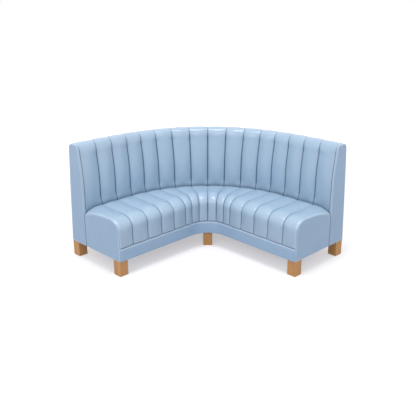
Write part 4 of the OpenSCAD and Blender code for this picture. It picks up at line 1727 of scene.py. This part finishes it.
        def front(z: float, depth: float) -> tuple[float, float]:
            """A point at a depth behind the front of the back."""
            return s.back_radius + plan.lean(z) + depth, z

        heights = [low, lerp(low, s.lean_start, 0.5), s.lean_start, s.lean_start + s.lean_blend]
        points = [front(z, s.pad_t) for z in heights] + [front(roof - soft, s.pad_t)]
        points += [front(roof, s.pad_t + soft), (top_q - soft, roof), (top_q, roof - soft),
                   (top_q, shelf), front(shelf, far)]
        points += [front(z, far) for z in reversed(heights)]
        return [plan.back_point(path, q) + lifted(z) for q, z in points]

    def outside_ring(self, path: float) -> Ring:
        """Makes one ring of the outside cover: a stretched sheet with turned edges.

        Args:
            path: Signed length along the back curve.

        Returns:
            The ring's points.
        """
        plan, s, hem = self.plan, self.sizes, self.hem
        low, high, wall = s.leg_height, plan.lip_height, s.outside_cover_t
        rows, outer = 22, []
        broad, narrow = self.outside_wander
        for k in range(rows + 1):
            z = lerp(low + hem, high - hem, k / rows)
            hold = math.sin(math.pi * k / rows)
            pull = hold * (broad * noise.noise(Vector((path * 2.6, z * 3.4, 6.1)))
                           + narrow * noise.noise(Vector((path * 11.0, z * 4.0, 1.3))))
            outer.append((plan.outside_q(z) + pull, z))
        face = [(plan.outside_q(low) - hem, low), *outer, (plan.outside_q(high) - hem, high)]
        face += [(plan.outside_q(z) - wall, z) for z in (high, lerp(low, high, 0.5), low)]
        return [plan.back_point(path, q) + lifted(z) for q, z in face]

    def end_outline(self, side: Side) -> Ring:
        """Draws the outline of the back unit's end cover, on the frame's end face.

        Args:
            side: The arm.

        Returns:
            The outline's points.
        """
        plan, s = self.plan, self.sizes
        nose_z = s.total_height - s.back_nose_radius
        nose_q = s.back_radius + plan.soft_lean(nose_z) + s.back_nose_radius
        r = s.back_nose_radius - s.edge_sink
        rows = [(s.back_radius, s.leg_height), (s.back_radius, plan.lower_panel_height - 0.004),
                (s.back_radius + s.edge_sink, plan.lower_panel_height + 0.010)]
        rows += [(s.back_radius + plan.soft_lean(z) + s.edge_sink, z) for z in self.end_heights]
        rows += [(nose_q - r * math.cos(a), nose_z + r * math.sin(a)) for a in arc_angles(0, 90, 8)]
        r, soft = s.soft_heel_radius - s.edge_sink, s.soft_heel_radius
        heel_q = plan.rear_top_q - soft
        rows += [(lerp(nose_q, heel_q, k / 4), s.total_height - s.edge_sink) for k in (1, 2, 3)]
        rows += [(heel_q + r * math.cos(a), s.total_height - soft + r * math.sin(a))
                 for a in arc_angles(90, 0, 8)]
        rows.append((plan.rear_top_q, plan.lip_height))
        rows += [(plan.outside_q(z), z) for z in (0.9, s.leg_height)]
        return [plan.arm_point(side, plan.cover_run, q, z + plan.crown(s.side_channels, q, z))
                for q, z in rows]

    def paths(self, stop: float, arc_steps: int, arm_steps: int) -> list[float]:
        """Divides the back curve.

        Args:
            stop: Length at which the piece ends on an arm.
            arc_steps: Steps round half of the curve.
            arm_steps: Steps along an arm.

        Returns:
            Signed lengths along the back curve, from one end to the other.
        """
        arc = self.plan.back_arc
        right = [arc * k / arc_steps for k in range(arc_steps + 1)]
        right += [lerp(arc, stop, k / arm_steps) for k in range(1, arm_steps + 1)]
        return mirrored(right)

    def build_pad(self) -> None:
        """Makes the fluted back pad."""
        pad = FlutedPad("back_fluted_pad", self.flutes, self.sizes.side_channels, self.pad_ring)
        self.fit(pad.build(), "fluted_vinyl", "back_pad")

    def build_foam(self) -> None:
        """Makes the foam behind the back pad."""
        stop = self.plan.back_arc + self.plan.cover_run
        rings = [self.foam_ring(p) for p in self.paths(stop, 30, 12)]
        self.fit(MeshShop.rings("back_foam_layer", rings), "foam", "back_foam")

    def build_outside(self) -> None:
        """Makes the stretched vinyl over the outside of the back."""
        plan, s = self.plan, self.sizes
        stop = plan.back_arc + plan.cover_run
        rings = [self.outside_ring(p) for p in self.paths(stop, 44, 24)]
        obj = self.fit(MeshShop.rings("outside_back_vinyl", rings), "plain_vinyl",
                       "outside_back_cover")

    def build_end(self, side: Side) -> None:
        """Makes the plain cover on one end of the back unit.

        Args:
            side: The arm.
        """
        plan, s = self.plan, self.sizes

        def joint(point: Vector) -> tuple[float, float]:
            """The joint with the seat unit, which ends at the seat's top."""
            over = point.z - plan.seat_height + s.end_drop
            return plan.arm_q(side, point) - s.back_radius, clamp(-over / 0.01)

        self.cover_end("back", side, self.end_outline(side), joint)

    def build(self) -> None:
        """Makes every cover of the back unit."""
        self.build_pad()
        self.build_foam()
        self.build_outside()
        for side in Side:
            self.build_end(side)


@dataclass
class HardFrame(SubAssembly):
    """The nodes that stay as they are: feet, boards, rails, ribs, skins and fasteners."""

    starts: tuple[tuple[str, str], ...] = (
        ("foot_front", "oak"), ("foot_rear", "oak"), ("foot_glides", "glide_plastic"),
        ("foot_block", "softwood"), ("foot_", "steel"), ("joining_", "steel"),
        ("plinth_rail", "softwood"))

    def slot_of(self, node: str) -> str:
        """Finds a node's finish.

        Args:
            node: The node's name.

        Returns:
            The record's slot.
        """
        for start, slot in self.starts:
            if node.startswith(start):
                return slot
        return "softwood" if node.endswith("_rail") else "plywood"

    def build(self) -> None:
        """Dresses each node that nothing stands for."""
        for name, obj in sorted(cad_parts.items()):
            if not obj.hide_render:
                self.finishes.dress(obj, self.slot_of(name))
                log.info("%s keeps its shape, in %s", name, self.slot_of(name))


# ---------------------------------------------------------------- the studio


@dataclass(frozen=True)
class Lamp:
    """A soft area lamp."""

    name: str
    place: tuple[float, float, float]
    aim: tuple[float, float, float]
    size: float
    power: float

    def build(self) -> None:
        """Hangs the lamp."""
        data = bpy.data.lights.new(self.name, "AREA")
        data.shape, data.size, data.energy = "DISK", self.size, self.power
        lamp = bpy.data.objects.new(self.name, data)
        bpy.context.scene.collection.objects.link(lamp)
        lamp.location = self.place
        way = Vector(self.aim) - Vector(self.place)
        lamp.rotation_euler = way.to_track_quat("-Z", "Y").to_euler()


@dataclass(frozen=True)
class Studio:
    """A white floor and surround, soft lamps and the camera."""

    camera_place: tuple[float, float, float] = (0.0025, -5.1005, 2.264)
    camera_pitch: float = math.radians(90 - 20.316)
    lens: float = 55.40
    sensor: float = 36.0
    ambient: float = 0.67
    floor_half: float = 40.0
    floor_glow: float = 0.465
    floor_near: float = 2.2
    floor_far: float = 4.5
    floor_tone: tuple[float, ...] = (0.43, 0.44, 0.47, 1.0)
    floor_seen_tone: tuple[float, ...] = (0.60, 0.60, 0.618, 1.0)
    floor_glow_tone: tuple[float, ...] = (0.985, 0.985, 1.03, 1.0)
    lamps: tuple[Lamp, ...] = (
        Lamp("overhead_lamp", (-0.4, -1.0, 7.5), (0.0, 0.0, 0.4), 3.4, 225.0),
        Lamp("left_front_lamp", (-4.2, -5.0, 4.4), (0.0, 0.0, 0.4), 3.0, 65.0),
        Lamp("front_lamp", (0.0, -6.5, 4.6), (0.0, 0.0, 0.4), 3.0, 65.0),
        Lamp("right_lamp", (6.0, -3.0, 2.0), (0.0, 0.0, 0.4), 3.0, 10.0),
    )

    @staticmethod
    def seen(bench: NodeBench) -> bpy.types.NodeSocket:
        """Adds a value of one where the camera, gloss or glass looks.

        Args:
            bench: The node tree.

        Returns:
            The value.
        """
        rays = bench.node("ShaderNodeLightPath").outputs
        pair = bench.math("MAXIMUM", rays["Is Camera Ray"], rays["Is Glossy Ray"])
        return bench.math("MAXIMUM", pair, rays["Is Transmission Ray"])

    def build_world(self) -> None:
        """Makes a surround that looks white and lights the bench softly."""
        world = bpy.data.worlds.new("white_surround")
        bpy.context.scene.world = world
        world.use_nodes = True
        bench = NodeBench(world.node_tree)
        back = world.node_tree.nodes["Background"]
        back.inputs["Color"].default_value = (1.0, 1.0, 1.0, 1.0)
        level = bench.math("MULTIPLY_ADD", self.seen(bench), 1.0 - self.ambient, self.ambient)
        bench.tree.links.new(level, back.inputs["Strength"])

    def build_floor(self) -> None:
        """Makes the white floor, which keeps the bench's shadow."""
        bm = bmesh.new()
        bmesh.ops.create_grid(bm, x_segments=4, y_segments=4, size=self.floor_half)
        floor = MeshShop.finish("studio_floor", bm, smooth=False)
        material = bpy.data.materials.new("studio_white")
        material.use_nodes = True
        bench = NodeBench(material.node_tree)
        material.node_tree.nodes.remove(material.node_tree.nodes["Principled BSDF"])
        seen = self.seen(bench)
        spot = bench.node("ShaderNodeTexCoord").outputs["Object"]
        far = bench.node("ShaderNodeVectorMath", {0: spot}, operation="LENGTH").outputs["Value"]
        level = bench.ramp(far, self.floor_near, self.floor_far, self.floor_glow, 1.0)
        tone = bench.blend(seen, self.floor_tone, self.floor_seen_tone)
        matt = bench.node("ShaderNodeBsdfDiffuse", {"Color": tone}).outputs[0]
        power = bench.math("MULTIPLY", seen, level)
        glow = bench.node("ShaderNodeEmission", {"Color": self.floor_glow_tone,
                                                 "Strength": power}).outputs[0]
        both = bench.node("ShaderNodeAddShader", {0: matt, 1: glow}).outputs[0]
        bench.tree.links.new(both, material.node_tree.nodes["Material Output"].inputs["Surface"])
        floor.data.materials.append(material)

    def build_camera(self) -> None:
        """Sets the camera at the photograph's place."""
        data = bpy.data.cameras.new("camera")
        data.lens, data.sensor_width, data.sensor_fit = self.lens, self.sensor, "HORIZONTAL"
        data.clip_end = 200.0
        camera = bpy.data.objects.new("camera", data)
        bpy.context.scene.collection.objects.link(camera)
        camera.location = self.camera_place
        camera.rotation_euler = (self.camera_pitch, 0.0, 0.0)
        bpy.context.scene.camera = camera

    def build(self) -> None:
        """Makes the whole studio."""
        self.build_camera()
        self.build_world()
        self.build_floor()
        for lamp in self.lamps:
            lamp.build()
        bpy.context.scene.view_settings.view_transform = "Standard"


def main() -> None:
    """Builds the bench's covers and finishes, then the studio."""
    logging.basicConfig(level=logging.INFO, format="%(name)s: %(message)s")
    plan = BenchPlan(BenchSizes())
    finishes = Finishes()
    for assembly in (SeatUnit, BackUnit, HardFrame):
        assembly(plan, finishes).build()
    Studio().build()
    bpy.context.view_layer.update()


if __name__ == "__main__":
    main()
